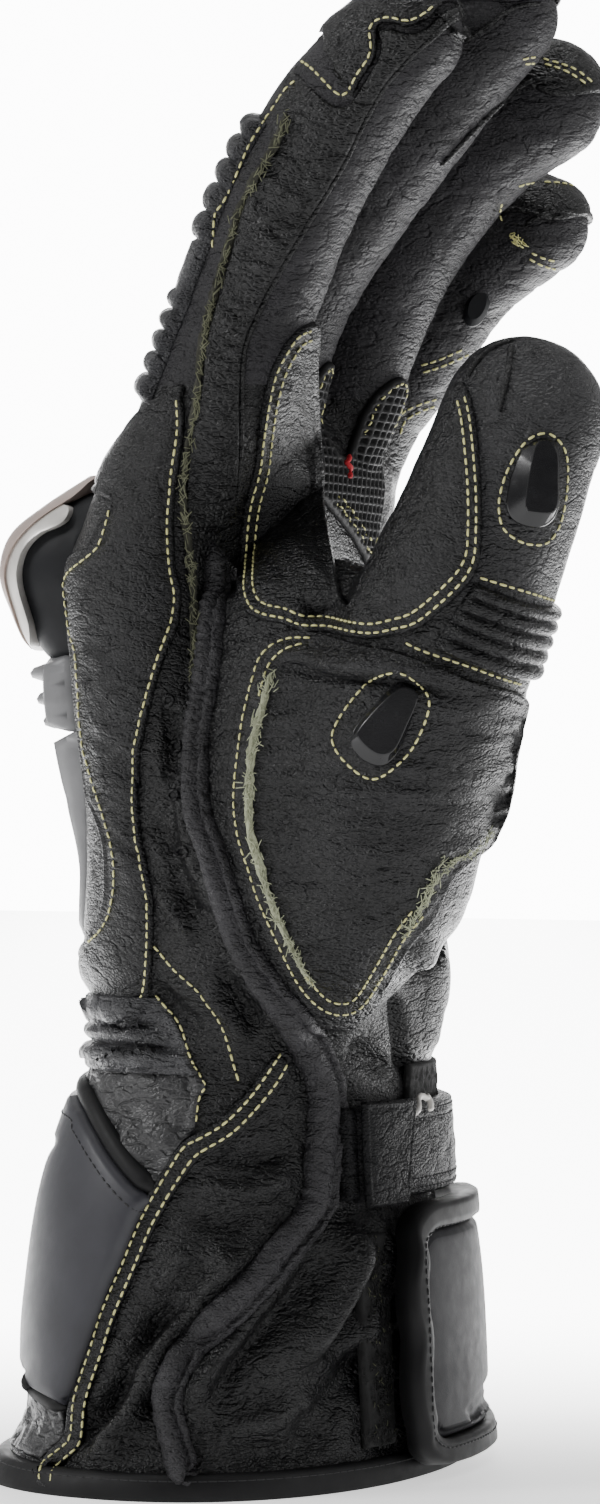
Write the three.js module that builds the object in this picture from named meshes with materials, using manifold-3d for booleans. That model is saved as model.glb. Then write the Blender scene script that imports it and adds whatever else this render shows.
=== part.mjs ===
// A left-hand motorcycle racing glove, standing on its cuff hem with the fingers up.
// Millimetres, +Z up. +X is the palm side, -Y the thumb side. The walls are hollow leather tubes
// lofted through the short tables of sections below; sewn-on panels are thin layers over them.
import * as THREE from 'three';
import { mergeVertices } from 'three/addons/utils/BufferGeometryUtils.js';
import Module from 'manifold-3d';

const wasm = await Module();
wasm.setup();

// Driving sizes
const WALL = 2.0;            // leather with its lining
const GAP = 0.35;            // clear space between neighbouring pieces
const PANEL = 1.2;           // a sewn-on leather panel
const SIDE_TURN = 27;        // degrees from the thumb side towards the palm: the side plane faces this way
const SPLIT_Z = 90;          // where the hand's wall meets the cuff's
const ROOT_Z = 218;          // where the finger tubes begin
const HEM_HEIGHT = 5.2;
const HEM = { out: 1.6, in: 0.8 };  // the binding tape's reach past the wall, outside and inside
const SIDE_SKIN = GAP + 0.9;        // the thin shiny side panel's top
const THUMB_SEAM = { x: 50, z: 178, lean: 18 };

// Cuff, wrist and hand: rounded sections from the hem to the finger roots
// z height, x and y middle, deep half size back to palm, wide half size across, power squareness
const BODY = table(['z', 'x', 'y', 'deep', 'wide', 'power'], [
  [0, -16.6, 0, 43.2, 57, 2.2],
  [12, -13.4, 0, 38.6, 52.8, 2.2],
  [34, -12.9, 0, 37.2, 50.5, 2.2],
  [76, -9.8, 0, 32.1, 42.9, 2.2],
  [88, -7, 0, 31, 40, 2.2],
  [104, -7.2, 0, 33, 44, 2.4],
  [122, -8.4, 0, 28.7, 46.6, 2.5],
  [146, -12.1, 0, 24.5, 48.3, 2.5],
  [178, -15.6, -1.5, 22.6, 49.5, 2.5],
  [206, -8.4, -1.5, 18, 47, 2.5],
  [217.6, -6, -1.5, 10.5, 43.5, 2.4],
]);

// Digits: x, y and z of the middle, lean in degrees towards the palm, half sizes
const DIGIT_COLUMNS = ['x', 'y', 'z', 'lean', 'deep', 'wide'];
const INDEX = table(DIGIT_COLUMNS, [
  [-10, -35.2, 194, 12, 14.5, 11.8],
  [-1, -35.2, 216, 20, 13.8, 11.3],
  [6.8, -35.1, 235, 21, 13.6, 11.2],
  [15.8, -35, 255, 27, 13.8, 11.1],
  [25.2, -34.6, 269.5, 38, 13.2, 10.8],
  [34, -34.1, 279.6, 46, 12.2, 10],
  [41, -33.6, 285.4, 53, 11, 9],
]);
const MIDDLE = table(DIGIT_COLUMNS, [
  [-12, -12.2, 194, 12, 14.5, 11.8],
  [-3.8, -12.2, 220, 18, 13.4, 11.4],
  [3.4, -12.2, 238, 25, 13.2, 11.3],
  [13, -12.2, 252.5, 33, 13.4, 11.3],
  [23.5, -12.1, 265, 38, 13.4, 11.1],
  [34.5, -12, 276.8, 43, 13, 10.8],
  [43.6, -11.7, 286, 48, 12.4, 10.2],
  [50.2, -11.5, 291.6, 56, 12, 9.4],
]);
const RING = table(DIGIT_COLUMNS, [
  [-11, 10.6, 194, 14, 14, 11.1],
  [3.4, 10.6, 221, 28, 13, 10.8],
  [11, 10.6, 237.5, 28, 12.6, 10.8],
  [18.5, 10.5, 250, 34, 12.6, 10.7],
  [28, 10.3, 262, 43, 12.8, 10.6],
  [40, 10, 271.6, 56, 12.6, 10.3],
  [51, 9.6, 276.6, 66, 12, 9.8],
]);
const LITTLE = table(DIGIT_COLUMNS, [
  [-12, 32.4, 194, 16, 12.8, 10],
  [-1.6, 32.3, 215.5, 33, 11.6, 9.9],
  [6.9, 32, 225.5, 40, 11, 9.8],
  [14.5, 31.7, 234, 42, 10.6, 9.6],
  [21.5, 31.3, 241.7, 46, 10.2, 9.4],
  [30.5, 30.8, 248.5, 54, 10, 9.2],
  [40.5, 30.2, 254.2, 62, 9.8, 9],
]);
const THUMB = table(DIGIT_COLUMNS, [
  [7.5, -22, 93, 8, 15, 14],
  [24, -28, 123, 21, 25.2, 21],
  [39.4, -32.5, 152, 27, 22.4, 19.6],
  [48.6, -35.4, 169, 26, 19.6, 17.4],
  [56.4, -37, 184, 24, 18, 15.5],
  [67.5, -38, 209.5, 22, 16.4, 13.2],
]);
const WEB = table(['x', 'y', 'z', 'deep', 'wide'], [
  [12, -26, 110, 18, 15],
  [14, -29, 120, 26, 20],
  [21, -32.6, 153, 28, 17.6],
  [25, -34, 174, 27.5, 12],
  [22, -34, 183.5, 23, 6],
]);

// The guard's dome over the knuckles, in level sections
const DOME = table(['x', 'y', 'z', 'deep', 'wide', 'power'], [
  [-36, -5, 165.5, 4, 17, 2.6],
  [-36, -5, 168.5, 10, 24, 2.8],
  [-36, -5, 174, 15, 29, 3],
  [-36, -5, 182, 17.6, 32, 3],
  [-35, -5, 190, 16.4, 31, 3],
  [-33, -5, 196, 12, 26.5, 2.8],
  [-31, -5, 199.5, 6, 18, 2.6],
]);

// Gathers of the gusset below the strap: one bulge and one valley for each fold
const GATHERS = { from: -78, to: -18, folds: 3, depth: 2.4, low: 0, high: 58 };

function table(columns, rows) {
  return rows.map((row) => Object.fromEntries(columns.map((name, k) => [name, row[k]])));
}

const rad = THREE.MathUtils.degToRad;

// A row between two rows of a table, on a smooth curve through them
function rowAt(rows, place) {
  const i = Math.min(Math.floor(place), rows.length - 2);
  const f = place - i;
  const pick = (k) => rows[THREE.MathUtils.clamp(k, 0, rows.length - 1)];
  const [a, b, c, d] = [pick(i - 1), pick(i), pick(i + 1), pick(i + 2)];
  return Object.fromEntries(Object.keys(b).map((name) => {
    const slopeB = (c[name] - a[name]) / 2;
    const slopeC = (d[name] - b[name]) / 2;
    const f2 = f * f;
    const f3 = f2 * f;
    return [name, (2 * f3 - 3 * f2 + 1) * b[name] + (f3 - 2 * f2 + f) * slopeB
      + (3 * f2 - 2 * f3) * c[name] + (f3 - f2) * slopeC];
  }));
}

function axisOf(row) {
  const lean = rad(row.lean ?? 0);
  return new THREE.Vector3(Math.sin(lean), 0, Math.cos(lean));
}

// The outward gather of the gusset at an angle round the cuff and a height
function gather(angle, z) {
  const round = THREE.MathUtils.euclideanModulo(angle + 180, 360) - 180;
  const { from, to, folds, depth, low, high } = GATHERS;
  if (round < from || round > to || z > high) return 0;
  const across = (round - from) / (to - from);
  const fade = Math.sin(Math.PI * THREE.MathUtils.clamp((z - low) / (high - low), 0, 1)) ** 0.6;
  return depth * Math.sin(across * folds * 2 * Math.PI) * fade * Math.sin(Math.PI * across);
}

// The points of one rounded section, grown outwards by a distance
function ring(row, angles, grow, relief) {
  const lean = rad(row.lean ?? 0);
  const across = new THREE.Vector3(Math.cos(lean), 0, -Math.sin(lean));
  const power = 2 / (row.power ?? 2.3);
  return angles.map((angle) => {
    const c = Math.cos(rad(angle));
    const s = Math.sin(rad(angle));
    const size = grow + (relief ? relief(angle, row.z) : 0);
    const p = (row.deep + size) * Math.sign(c) * Math.abs(c) ** power;
    const q = (row.wide + size) * Math.sign(s) * Math.abs(s) ** power;
    return new THREE.Vector3(row.x, row.y + q, row.z).addScaledVector(across, p);
  });
}

function evenAngles(count, turn = 0) {
  return Array.from({ length: count }, (_, k) => (360 * (k + turn)) / count - 180);
}

// A closed solid through rings of points, with flat ends. An end is closed by a strip from side to
// side of its ring, which also fits a ring that is an arc's two sides
function stack(rings) {
  const sides = rings[0].length;
  const points = rings.flat();
  const faces = [];
  for (let r = 0; r + 1 < rings.length; r += 1) {
    for (let k = 0; k < sides; k += 1) {
      const a = r * sides + k;
      const b = r * sides + (k + 1) % sides;
      faces.push(a, b, b + sides, a, b + sides, a + sides);
    }
  }
  const top = (rings.length - 1) * sides;
  const close = (a, b, c) => faces.push(a, c, b, top + a, top + b, top + c);
  for (let near = 0, far = sides - 1; far - near > 1; near += 1, far -= 1) {
    close(near, near + 1, far);
    if (far - near > 2) close(near + 1, far - 1, far);
  }
  const geometry = new THREE.BufferGeometry().setFromPoints(points);
  geometry.setIndex(faces);
  return geometry;
}

// The tube through a table's sections; a digit also gets a round tip
function tube(rows, { angles, grow = 0, relief, tip = false, tipSteps = [38, 74] }) {
  const rings = rows.map((row) => ring(row, angles, grow, relief));
  if (tip) {
    const last = rows[rows.length - 1];
    const reach = last.deep + grow;
    for (const step of tipSteps) {
      const shrink = Math.cos(rad(step));
      const middle = axisOf(last).multiplyScalar(reach * Math.sin(rad(step)));
      const row = { ...last, x: last.x + middle.x, z: last.z + middle.z,
        deep: (last.deep + grow) * shrink, wide: (last.wide + grow) * shrink };
      rings.push(ring(row, angles, 0));
    }
  }
  return solid(stack(rings));
}

// Joining and cutting
function solid(geometry) {
  const bare = geometry.clone();
  bare.deleteAttribute('normal');
  bare.deleteAttribute('uv');
  const merged = mergeVertices(bare, 1e-5);
  return new wasm.Manifold(new wasm.Mesh({
    numProp: 3,
    vertProperties: new Float32Array(merged.attributes.position.array),
    triVerts: new Uint32Array(merged.index.array),
  }));
}

function unite(first, ...others) {
  return others.reduce((sum, next) => sum.add(next), first);
}

const UP = new THREE.Vector3(0, 0, 1);
const ALONG_Y = new THREE.Vector3(0, 1, 0);
function cut(form, axis, level, keepAbove) {
  const sign = keepAbove ? 1 : -1;
  return form.trimByPlane([sign * axis.x, sign * axis.y, sign * axis.z], sign * level);
}
const above = (form, z) => cut(form, UP, z, true);
const below = (form, z) => cut(form, UP, z, false);
const between = (form, low, high) => below(above(form, low), high);

function toGeometry(form) {
  const mesh = form.getMesh();
  const corners = [];
  for (const v of mesh.triVerts) {
    const at = v * mesh.numProp;
    corners.push(mesh.vertProperties[at], mesh.vertProperties[at + 1], mesh.vertProperties[at + 2]);
  }
  const geometry = new THREE.BufferGeometry();
  geometry.setAttribute('position', new THREE.Float32BufferAttribute(corners, 3));
  geometry.computeVertexNormals();
  return geometry;
}

// Flat outlines pushed through the glove: 'side' faces the thumb side, 'edge' lies in the X-Z plane
// and 'front' in the Y-Z plane
const PLANES = {
  side: new THREE.Matrix4().makeRotationZ(rad(SIDE_TURN))
    .multiply(new THREE.Matrix4().makeRotationX(Math.PI / 2)),
  edge: new THREE.Matrix4().makeRotationX(Math.PI / 2),
  front: new THREE.Matrix4().makeBasis(
    new THREE.Vector3(0, 1, 0), new THREE.Vector3(0, 0, 1), new THREE.Vector3(1, 0, 0)),
};

// An outline (its own across and height) pushed from one depth to another along its plane's normal
function slab(outline, plane, [near, far]) {
  const drawn = outline instanceof THREE.Shape;
  const shape = drawn ? outline : new THREE.Shape(outline.map(([a, z]) => new THREE.Vector2(a, z)));
  const options = { depth: far - near, bevelEnabled: false, curveSegments: 2 };
  const geometry = new THREE.ExtrudeGeometry(shape, options);
  geometry.translate(0, 0, near).applyMatrix4(PLANES[plane]);
  return solid(geometry);
}

// How deep a slab reaches along its plane's normal, for each part of the glove
const THUMB_SIDE = [0, 95];
const THUMB_FRONT = [19, 95];
const PALM_SIDE = [-4, 75];
const BACK_SIDE = [-90, -12];
const ALL_ACROSS = [-70, 70];

// The band between two offsets of an open line
function strip(line, near, far) {
  const offset = (distance) => line.map(([a, z], k) => {
    const [a0, z0] = line[Math.max(k - 1, 0)];
    const [a1, z1] = line[Math.min(k + 1, line.length - 1)];
    const length = Math.hypot(a1 - a0, z1 - z0);
    return [a - ((z1 - z0) / length) * distance, z + ((a1 - a0) / length) * distance];
  });
  return [...offset(near), ...offset(far).reverse()];
}

function rectangle([left, right], [low, high]) {
  return [[left, low], [right, low], [right, high], [left, high]];
}

// A rectangle with round corners, drawn inside an area by a margin
function roundedRect([left, right], [low, high], margin, corner) {
  const shape = new THREE.Shape();
  const radius = corner - margin;
  const [x0, x1, z0, z1] = [left + corner, right - corner, low + corner, high - corner];
  shape.absarc(x1, z1, radius, 0, Math.PI / 2);
  shape.absarc(x0, z1, radius, Math.PI / 2, Math.PI);
  shape.absarc(x0, z0, radius, Math.PI, 1.5 * Math.PI);
  shape.absarc(x1, z0, radius, 1.5 * Math.PI, 2 * Math.PI);
  return shape;
}

// The glove's own forms, each grown by a distance
// The cuff has more corners where it gathers; every other corner lines up with the hand's
const CORNER_STEP = 20;
const DENSE_STEPS = 12;
const BODY_ANGLES = Array.from({ length: 360 / CORNER_STEP }, (_, k) => GATHERS.to + CORNER_STEP * k);
const CUFF_ANGLES = [
  ...Array.from({ length: DENSE_STEPS }, (_, k) => (
    GATHERS.from + (k * (GATHERS.to - GATHERS.from)) / DENSE_STEPS)),
  ...BODY_ANGLES.filter((angle) => angle < 360 + GATHERS.from),
];
const WRIST_ROW = BODY.findIndex((row) => row.z === 88);

// Inner walls start a little lower than the outer ones, so that they cut right through
function bodyRows(first, last, drop) {
  const rows = BODY.slice(first, last).map((row) => ({ ...row }));
  rows[0].z -= drop;
  return rows;
}
const hem = (grow) => tube(bodyRows(0, 2, grow < 0 ? 1 : 0), { angles: BODY_ANGLES, grow });
function cuff(grow) {
  return tube(bodyRows(0, WRIST_ROW + 2, grow < 0 ? 5 : 0), { angles: CUFF_ANGLES, grow, relief: gather });
}
function palm(grow) {
  const rows = bodyRows(WRIST_ROW, BODY.length, 0);
  rows[rows.length - 1].z += Math.min(grow, 0);
  return tube(rows, { angles: BODY_ANGLES, grow });
}
const digit = (rows, grow) => tube(rows, { angles: evenAngles(grow < 0 ? 8 : 10, 0.5), grow, tip: true });
const thumbForm = (grow) => tube(THUMB, { angles: evenAngles(grow < 0 ? 10 : 12), grow, tip: true });
function web(grow) {
  const rows = WEB.map((row) => ({ ...row }));
  rows[0].z -= grow;
  rows[rows.length - 1].z += grow;
  return tube(rows, { angles: evenAngles(8), grow });
}
const hand = (grow) => unite(palm(grow), thumbForm(grow), web(grow));
const DIGITS = { index: INDEX, middle: MIDDLE, ring: RING, little: LITTLE };
const thumbAxis = axisOf({ lean: THUMB_SEAM.lean });
const thumbLevel = thumbAxis.x * THUMB_SEAM.x + thumbAxis.z * THUMB_SEAM.z;

// A layer over a form, from one lift above it to another, kept inside a slab
function layer(form, low, high, keep) {
  return form(high).subtract(form(low)).intersect(keep);
}

// A pleated panel: ribs across a stretch of a table's tube, over an arc of its section.
// It flattens out at both ends of the arc. With no foot height it is filled in behind, to be cut by
// the form it lies on
function ribs(rows, { from, to, count, foot, low, high, arc, steps }) {
  const angles = Array.from({ length: steps + 1 }, (_, k) => arc[0] + ((arc[1] - arc[0]) * k) / steps);
  const rings = Array.from({ length: count * 2 + 1 }, (_, k) => {
    const row = rowAt(rows, from + ((to - from) * k) / (count * 2));
    const crest = (angle) => (k % 2 && !arc.includes(angle) ? high : low);
    const under = foot === undefined ? [] : ring(row, angles, foot).reverse();
    return [...ring(row, angles, 0, crest), ...under];
  });
  return solid(stack(rings));
}

// The point of a form seen from the thumb side at a distance across and a height
const TOWARD = new THREE.Vector3(Math.sin(rad(SIDE_TURN)), -Math.cos(rad(SIDE_TURN)), 0);
const ACROSS = new THREE.Vector3(Math.cos(rad(SIDE_TURN)), Math.sin(rad(SIDE_TURN)), 0);
function onSkin(form, across, z, lift) {
  const from = new THREE.Vector3(0, 0, z).addScaledVector(ACROSS, across).addScaledVector(TOWARD, 200);
  const skin = new THREE.Mesh(toGeometry(form));
  const hit = new THREE.Raycaster(from, TOWARD.clone().negate()).intersectObject(skin)[0];
  return hit.point.addScaledVector(hit.face.normal, lift);
}

// A padded roll lying on a form: an arched section at each row, its feet just clear of the skin
const ROLL_SECTION = [[-1, 0], [-0.85, 0.6], [-0.3, 1], [0.3, 1], [0.85, 0.6], [1, 0]];
function roll(rows, form, foot, steps) {
  const rings = Array.from({ length: steps + 1 }, (_, k) => {
    const place = (k / steps) * (rows.length - 1);
    const row = rowAt(rows, place);
    const ahead = rowAt(rows, Math.min(place + 0.1, rows.length - 1));
    const behind = rowAt(rows, Math.max(place - 0.1, 0));
    const length = Math.hypot(ahead.across - behind.across, ahead.z - behind.z);
    const side = [(ahead.z - behind.z) / length, (behind.across - ahead.across) / length];
    return ROLL_SECTION.map(([out, up]) => onSkin(form, row.across + side[0] * out * row.half,
      row.z + side[1] * out * row.half, foot + up * row.rise));
  });
  return solid(stack(rings));
}

const glove = new THREE.Group();
const LOOKS = {
  leather: { color: 0x1d1d20, roughness: 0.55, metalness: 0 },
  softLeather: { color: 0x2c2c30, roughness: 0.75, metalness: 0 },
  shinyLeather: { color: 0x131315, roughness: 0.35, metalness: 0 },
  titanium: { color: 0xb4aaa0, roughness: 0.3, metalness: 1 },
  greyRubber: { color: 0x77787c, roughness: 0.5, metalness: 0 },
  darkPlastic: { color: 0x34343a, roughness: 0.6, metalness: 0 },
  gloss: { color: 0x0a0a0b, roughness: 0.12, metalness: 0 },
  coated: { color: 0x55565b, roughness: 0.45, metalness: 0 },
  rubber: { color: 0x18181a, roughness: 0.6, metalness: 0 },
  fuzz: { color: 0x0c0c0c, roughness: 0.95, metalness: 0 },
};

function piece(name, form, look) {
  const object = new THREE.Mesh(toGeometry(form), new THREE.MeshStandardMaterial(LOOKS[look]));
  object.name = name;
  glove.add(object);
}

// The leather walls
const inside = unite(palm(-WALL), thumbForm(-WALL), web(-WALL),
  ...Object.values(DIGITS).map((rows) => below(digit(rows, -WALL), ROOT_Z + 6)));
const outside = unite(palm(0), cut(thumbForm(0), thumbAxis, thumbLevel, false), web(0),
  ...Object.values(DIGITS).map((rows) => below(digit(rows, 0), ROOT_Z - GAP)));
piece('hand_shell', between(outside.subtract(inside), SPLIT_Z + GAP, ROOT_Z - GAP), 'leather');
piece('cuff_shell', between(cuff(0).subtract(cuff(-WALL)), HEM_HEIGHT + GAP, SPLIT_Z), 'leather');
piece('hem_binding', below(hem(HEM.out).subtract(hem(-WALL - HEM.in)), HEM_HEIGHT), 'rubber');
for (const [name, rows] of Object.entries(DIGITS)) {
  piece(`${name}_finger`, above(digit(rows, 0).subtract(digit(rows, -WALL)), ROOT_Z), 'softLeather');
}
const thumbTube = cut(thumbForm(0).subtract(thumbForm(-WALL)), thumbAxis, thumbLevel + GAP, true);
piece('thumb', thumbTube.subtract(unite(palm(GAP), web(GAP))), 'leather');

// Sewn-on panels of the thumb side, drawn square to the side plane (across, height)
const SIDE_PANEL = [[-8, 258], [-2, 274], [6.9, 271.6], [15.9, 285.4], [29, 288], [6.6, 257.7], [-4, 239.8],
  [-12.5, 190.5], [-21.5, 190.5], [-19.3, 222]];
const WEB_PATCH = [[2.5, 229], [-5, 218], [-8.5, 199], [-11, 182], [-9, 173.5], [14, 169.8], [26, 173.5],
  [34.5, 185], [34.4, 203], [32.5, 217.5], [18, 190], [14, 185.2], [6, 193], [5, 205]];
const THENAR_PATCH = [[2, 169], [-7, 166], [-12, 151], [-13.2, 138], [-8, 117], [1, 99.5], [8, 95.2],
  [16, 100.5], [34, 126], [50, 138], [46, 158.3], [22, 166.8]];
const INDEX_HALF_Y = -35.6;
const sideForm = (grow) => cut(unite(palm(grow), digit(INDEX, grow)), ALONG_Y, INDEX_HALF_Y, false);
const webForm = (grow) => unite(hand(grow), digit(INDEX, grow), digit(MIDDLE, grow));
const sideArea = slab(SIDE_PANEL, 'side', THUMB_SIDE);
piece('index_side_panel', layer(sideForm, GAP, SIDE_SKIN, sideArea), 'shinyLeather');
piece('web_patch', layer(webForm, GAP, GAP + PANEL, slab(WEB_PATCH, 'side', THUMB_FRONT)), 'leather');
piece('thenar_patch', layer(hand, GAP, GAP + PANEL, slab(THENAR_PATCH, 'side', THUMB_FRONT)), 'leather');

// The grip patch on the palm, with two tongues between the finger roots (y, z)
const GRIP_PATCH = [[-14, 184], [18, 184], [20, 205], [15, 208], [13, 224], [6, 224], [4, 207], [-4, 206],
  [-7, 223], [-13, 223], [-15, 206]];
const gripForm = (grow) => unite(palm(grow), digit(MIDDLE, grow), digit(RING, grow));
piece('grip_patch', layer(gripForm, GAP, GAP + PANEL, slab(GRIP_PATCH, 'front', PALM_SIDE)), 'rubber');

// Fingertip caps: the nail side of the last joint, the index one drawn as an outline (x, z)
const INDEX_CAP = [[8, 291], [21, 281.6], [31.5, 275], [35, 279.5], [40.5, 288.6], [47, 290.4], [60, 294],
  [60, 315], [8, 315]];
const TIP_CAP = { length: 11, past: 1.5 };
const capSkin = (rows) => digit(rows, GAP + PANEL).subtract(digit(rows, GAP));
piece('index_tip_cap', capSkin(INDEX).intersect(slab(INDEX_CAP, 'edge', ALL_ACROSS)), 'shinyLeather');
for (const [name, rows] of Object.entries(DIGITS).slice(1)) {
  const last = rows[rows.length - 1];
  const middle = new THREE.Vector3(last.x, last.y, last.z);
  const axis = axisOf(last);
  const across = new THREE.Vector3(axis.z, 0, -axis.x);
  const tipOnly = cut(capSkin(rows), axis, axis.dot(middle) - TIP_CAP.length, true);
  piece(`${name}_tip_cap`, cut(tipOnly, across, across.dot(middle) + TIP_CAP.past, false), 'shinyLeather');
}

// Stretch ribs over the finger backs, the thumb base and the back of the wrist. The corners of an arc
// with a foot line up with those of the form under it
const BACK_ARC = [126, 234];
const RIB = { low: 1.2, high: 3 };
const FINGER_RIBS = {
  index: { from: 0.8, to: 4, count: 7 },
  middle: { from: 0.85, to: 4.4, count: 7 },
  ring: { from: 0.9, to: 4.2, count: 6 },
  little: { from: 0.95, to: 3.9, count: 5 },
};
for (const [name, rows] of Object.entries(DIGITS)) {
  const pleats = ribs(rows, { ...RIB, ...FINGER_RIBS[name], foot: 2 * GAP, arc: BACK_ARC, steps: 3 });
  piece(`${name}_ribs`, above(pleats, ROOT_Z + GAP), 'leather');
}
const THUMB_RIB_AREA = [[23.2, 167.4], [29, 173], [35, 180], [37, 184], [62, 184], [62, 155], [46.2, 159.3],
  [42, 160.6]];
const thumbRibs = ribs(THUMB, { ...RIB, high: 2.6, from: 2.5, to: 3.5, count: 4, arc: [-135, 30], steps: 7 });
const thumbRibArea = slab(THUMB_RIB_AREA, 'side', THUMB_SIDE);
piece('thumb_ribs', thumbRibs.subtract(hand(GAP)).intersect(thumbRibArea), 'leather');
const WRIST_RIBS = { from: 3.6, to: 4.56, count: 3, foot: 1.1, low: 1.8, high: 4.2, arc: [122, 242], steps: 6 };
piece('wrist_ribs', ribs(BODY, WRIST_RIBS), 'coated');

// The guard on the back of the hand
const capForm = (grow) => tube(DOME, { angles: evenAngles(12), grow });
const CAP = { lift: 0.4, thick: 2.2 };
const CAP_EDGE = [[-75, 164], [-42.5, 164.5], [-44, 170], [-46.5, 176], [-47, 181], [-46, 185], [-43, 188.5],
  [-36.4, 192], [-36.8, 195], [-41, 195], [-38, 198], [-33, 200.5], [-33, 204], [-75, 204]];
const titanium = layer(capForm, CAP.lift, CAP.lift + CAP.thick, slab(CAP_EDGE, 'edge', ALL_ACROSS));
piece('knuckle_dome', capForm(0).subtract(palm(GAP)), 'darkPlastic');
piece('knuckle_cap', titanium.subtract(palm(GAP)), 'titanium');
const FIN = { count: 3, middle: -5, z: 162, step: 4.1, thick: 2.4, lift: 9.6, drop: 0.6, half: 25, shrink: 1 };
for (let k = 0; k < FIN.count; k += 1) {
  const z = FIN.z - k * FIN.step;
  const half = FIN.half - k * FIN.shrink;
  const outline = rectangle([FIN.middle - half, FIN.middle + half], [z - FIN.thick / 2, z + FIN.thick / 2]);
  const fin = layer(palm, GAP, FIN.lift - k * FIN.drop, slab(outline, 'front', BACK_SIDE));
  piece(`guard_fin_${k + 1}`, fin, 'greyRubber');
}
const BACK_PLATE = [[-27, 150.8], [-30, 146], [-29, 126], [-24, 112], [-12, 106], [2, 106], [14, 112],
  [19, 126], [20, 146], [17, 150.8]];
const BACK_PLATE_LIFT = 5.6;
piece('back_plate', layer(palm, GAP, BACK_PLATE_LIFT, slab(BACK_PLATE, 'front', BACK_SIDE)), 'greyRubber');
const BACK_EDGE = [[-75, 98], [-14.5, 98], [-11.5, 112], [-14.5, 138], [-7.5, 168], [-5, 190], [-5, 210.4],
  [-75, 210.4]];
const GUARD_HOLE = [[-5, 203.5], [-30, 198], [-40, 183], [-33.5, 160], [-33, 140], [-30, 116], [-18, 104],
  [8, 104], [20, 116], [23, 140], [23.5, 160], [30, 183], [20, 198]];
const backArea = slab(BACK_EDGE, 'edge', ALL_ACROSS).subtract(slab(GUARD_HOLE, 'front', BACK_SIDE));
piece('back_panel', layer(palm, GAP, GAP + PANEL, backArea), 'leather');

// Hard sliders: an egg-shaped puck set square to the side plane, with a narrower face
const littleForm = (grow) => digit(LITTLE, grow);
const SLIDERS = {
  thumb_slider: { across: 46.2, z: 197, half: [4.7, 8.6], turn: 0, on: thumbForm, lift: GAP },
  palm_slider: { across: 16.5, z: 151, half: [6, 7.9], turn: -22, on: hand, lift: PANEL + 2 * GAP },
  little_slider: { across: 36.5, z: 238, half: [2.8, 4.2], turn: -30, on: littleForm, lift: GAP },
};
const PUCK = { sides: 9, face: 0.7, step: 1.6, root: 9, taper: 0.16, rise: 2.9 };
for (const [name, { across, z, half, turn, on, lift }] of Object.entries(SLIDERS)) {
  const depth = onSkin(on(lift), across, z, 0).dot(TOWARD) + PUCK.rise;
  const [c, s] = [Math.cos(rad(turn)), Math.sin(rad(turn))];
  const level = (scale, at) => evenAngles(PUCK.sides).map((angle) => {
    const high = half[1] * scale * Math.sin(rad(angle));
    const wide = half[0] * scale * Math.cos(rad(angle)) * (1 - PUCK.taper * Math.sin(rad(angle)));
    const point = new THREE.Vector3(across + wide * c - high * s, z + wide * s + high * c, at);
    return point.applyMatrix4(PLANES.side);
  });
  const levels = [level(1, depth - PUCK.root), level(1, depth - PUCK.step), level(PUCK.face, depth)];
  const puck = solid(stack(levels));
  piece(name, puck.subtract(on(lift)), name === 'little_slider' ? 'darkPlastic' : 'gloss');
}

// The padded roll along the outseam, on the surface under the points
const ROLL = table(['across', 'z', 'half', 'rise'], [
  [-17, 188.5, 2.6, 2.6],
  [-16.6, 172, 2.8, 2.8],
  [-18.2, 158, 3, 3],
  [-19.8, 142, 3, 3],
  [-17.4, 127, 3.2, 3],
  [-11.5, 110, 3.4, 3.2],
  [-3, 95.5, 3.8, 3.4],
  [3.4, 81, 4.4, 3.8],
  [4.2, 63, 4.2, 3.8],
  [-3.5, 46.5, 3.2, 3],
  [-15, 36, 4, 3.4],
  [-24, 25, 3.6, 3.2],
  [-23.6, 9, 3.6, 3],
]);
const ROLL_FOOT = 0.5;
const rollBase = unite(below(cuff(GAP), SPLIT_Z), hand(GAP), digit(INDEX, GAP));
piece('outseam_roll', roll(ROLL, rollBase, ROLL_FOOT, 20).subtract(rollBase), 'leather');

// The coated shell over the back of the cuff, with rubber bindings along its edges (x, z)
const GUARD_TOP = [[-10.5, 55.5], [-17, 59.5], [-24, 66], [-31, 73], [-38, 77], [-75, 77.5]];
const GUARD_LOW = [[-75, 24.5], [-47, 23.5], [-27, 17.5]];
const CUFF_GUARD = [...GUARD_TOP, ...GUARD_LOW, [-24.5, 23], [-20, 34], [-15, 44], [-11.5, 50]];
const GUARD = { lift: 3.6, binding: 4.6, topWidth: 4.4, lowWidth: 3.6 };
const guardLayer = (outline, lift) => layer(cuff, GAP, lift, slab(outline, 'edge', ALL_ACROSS));
piece('cuff_guard', guardLayer(CUFF_GUARD, GUARD.lift), 'coated');
piece('guard_binding_top', guardLayer(strip(GUARD_TOP, -GAP, -GUARD.topWidth), GUARD.binding), 'rubber');
piece('guard_binding_low', guardLayer(strip(GUARD_LOW, -GAP, -GUARD.lowWidth), GUARD.binding), 'rubber');

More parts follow.
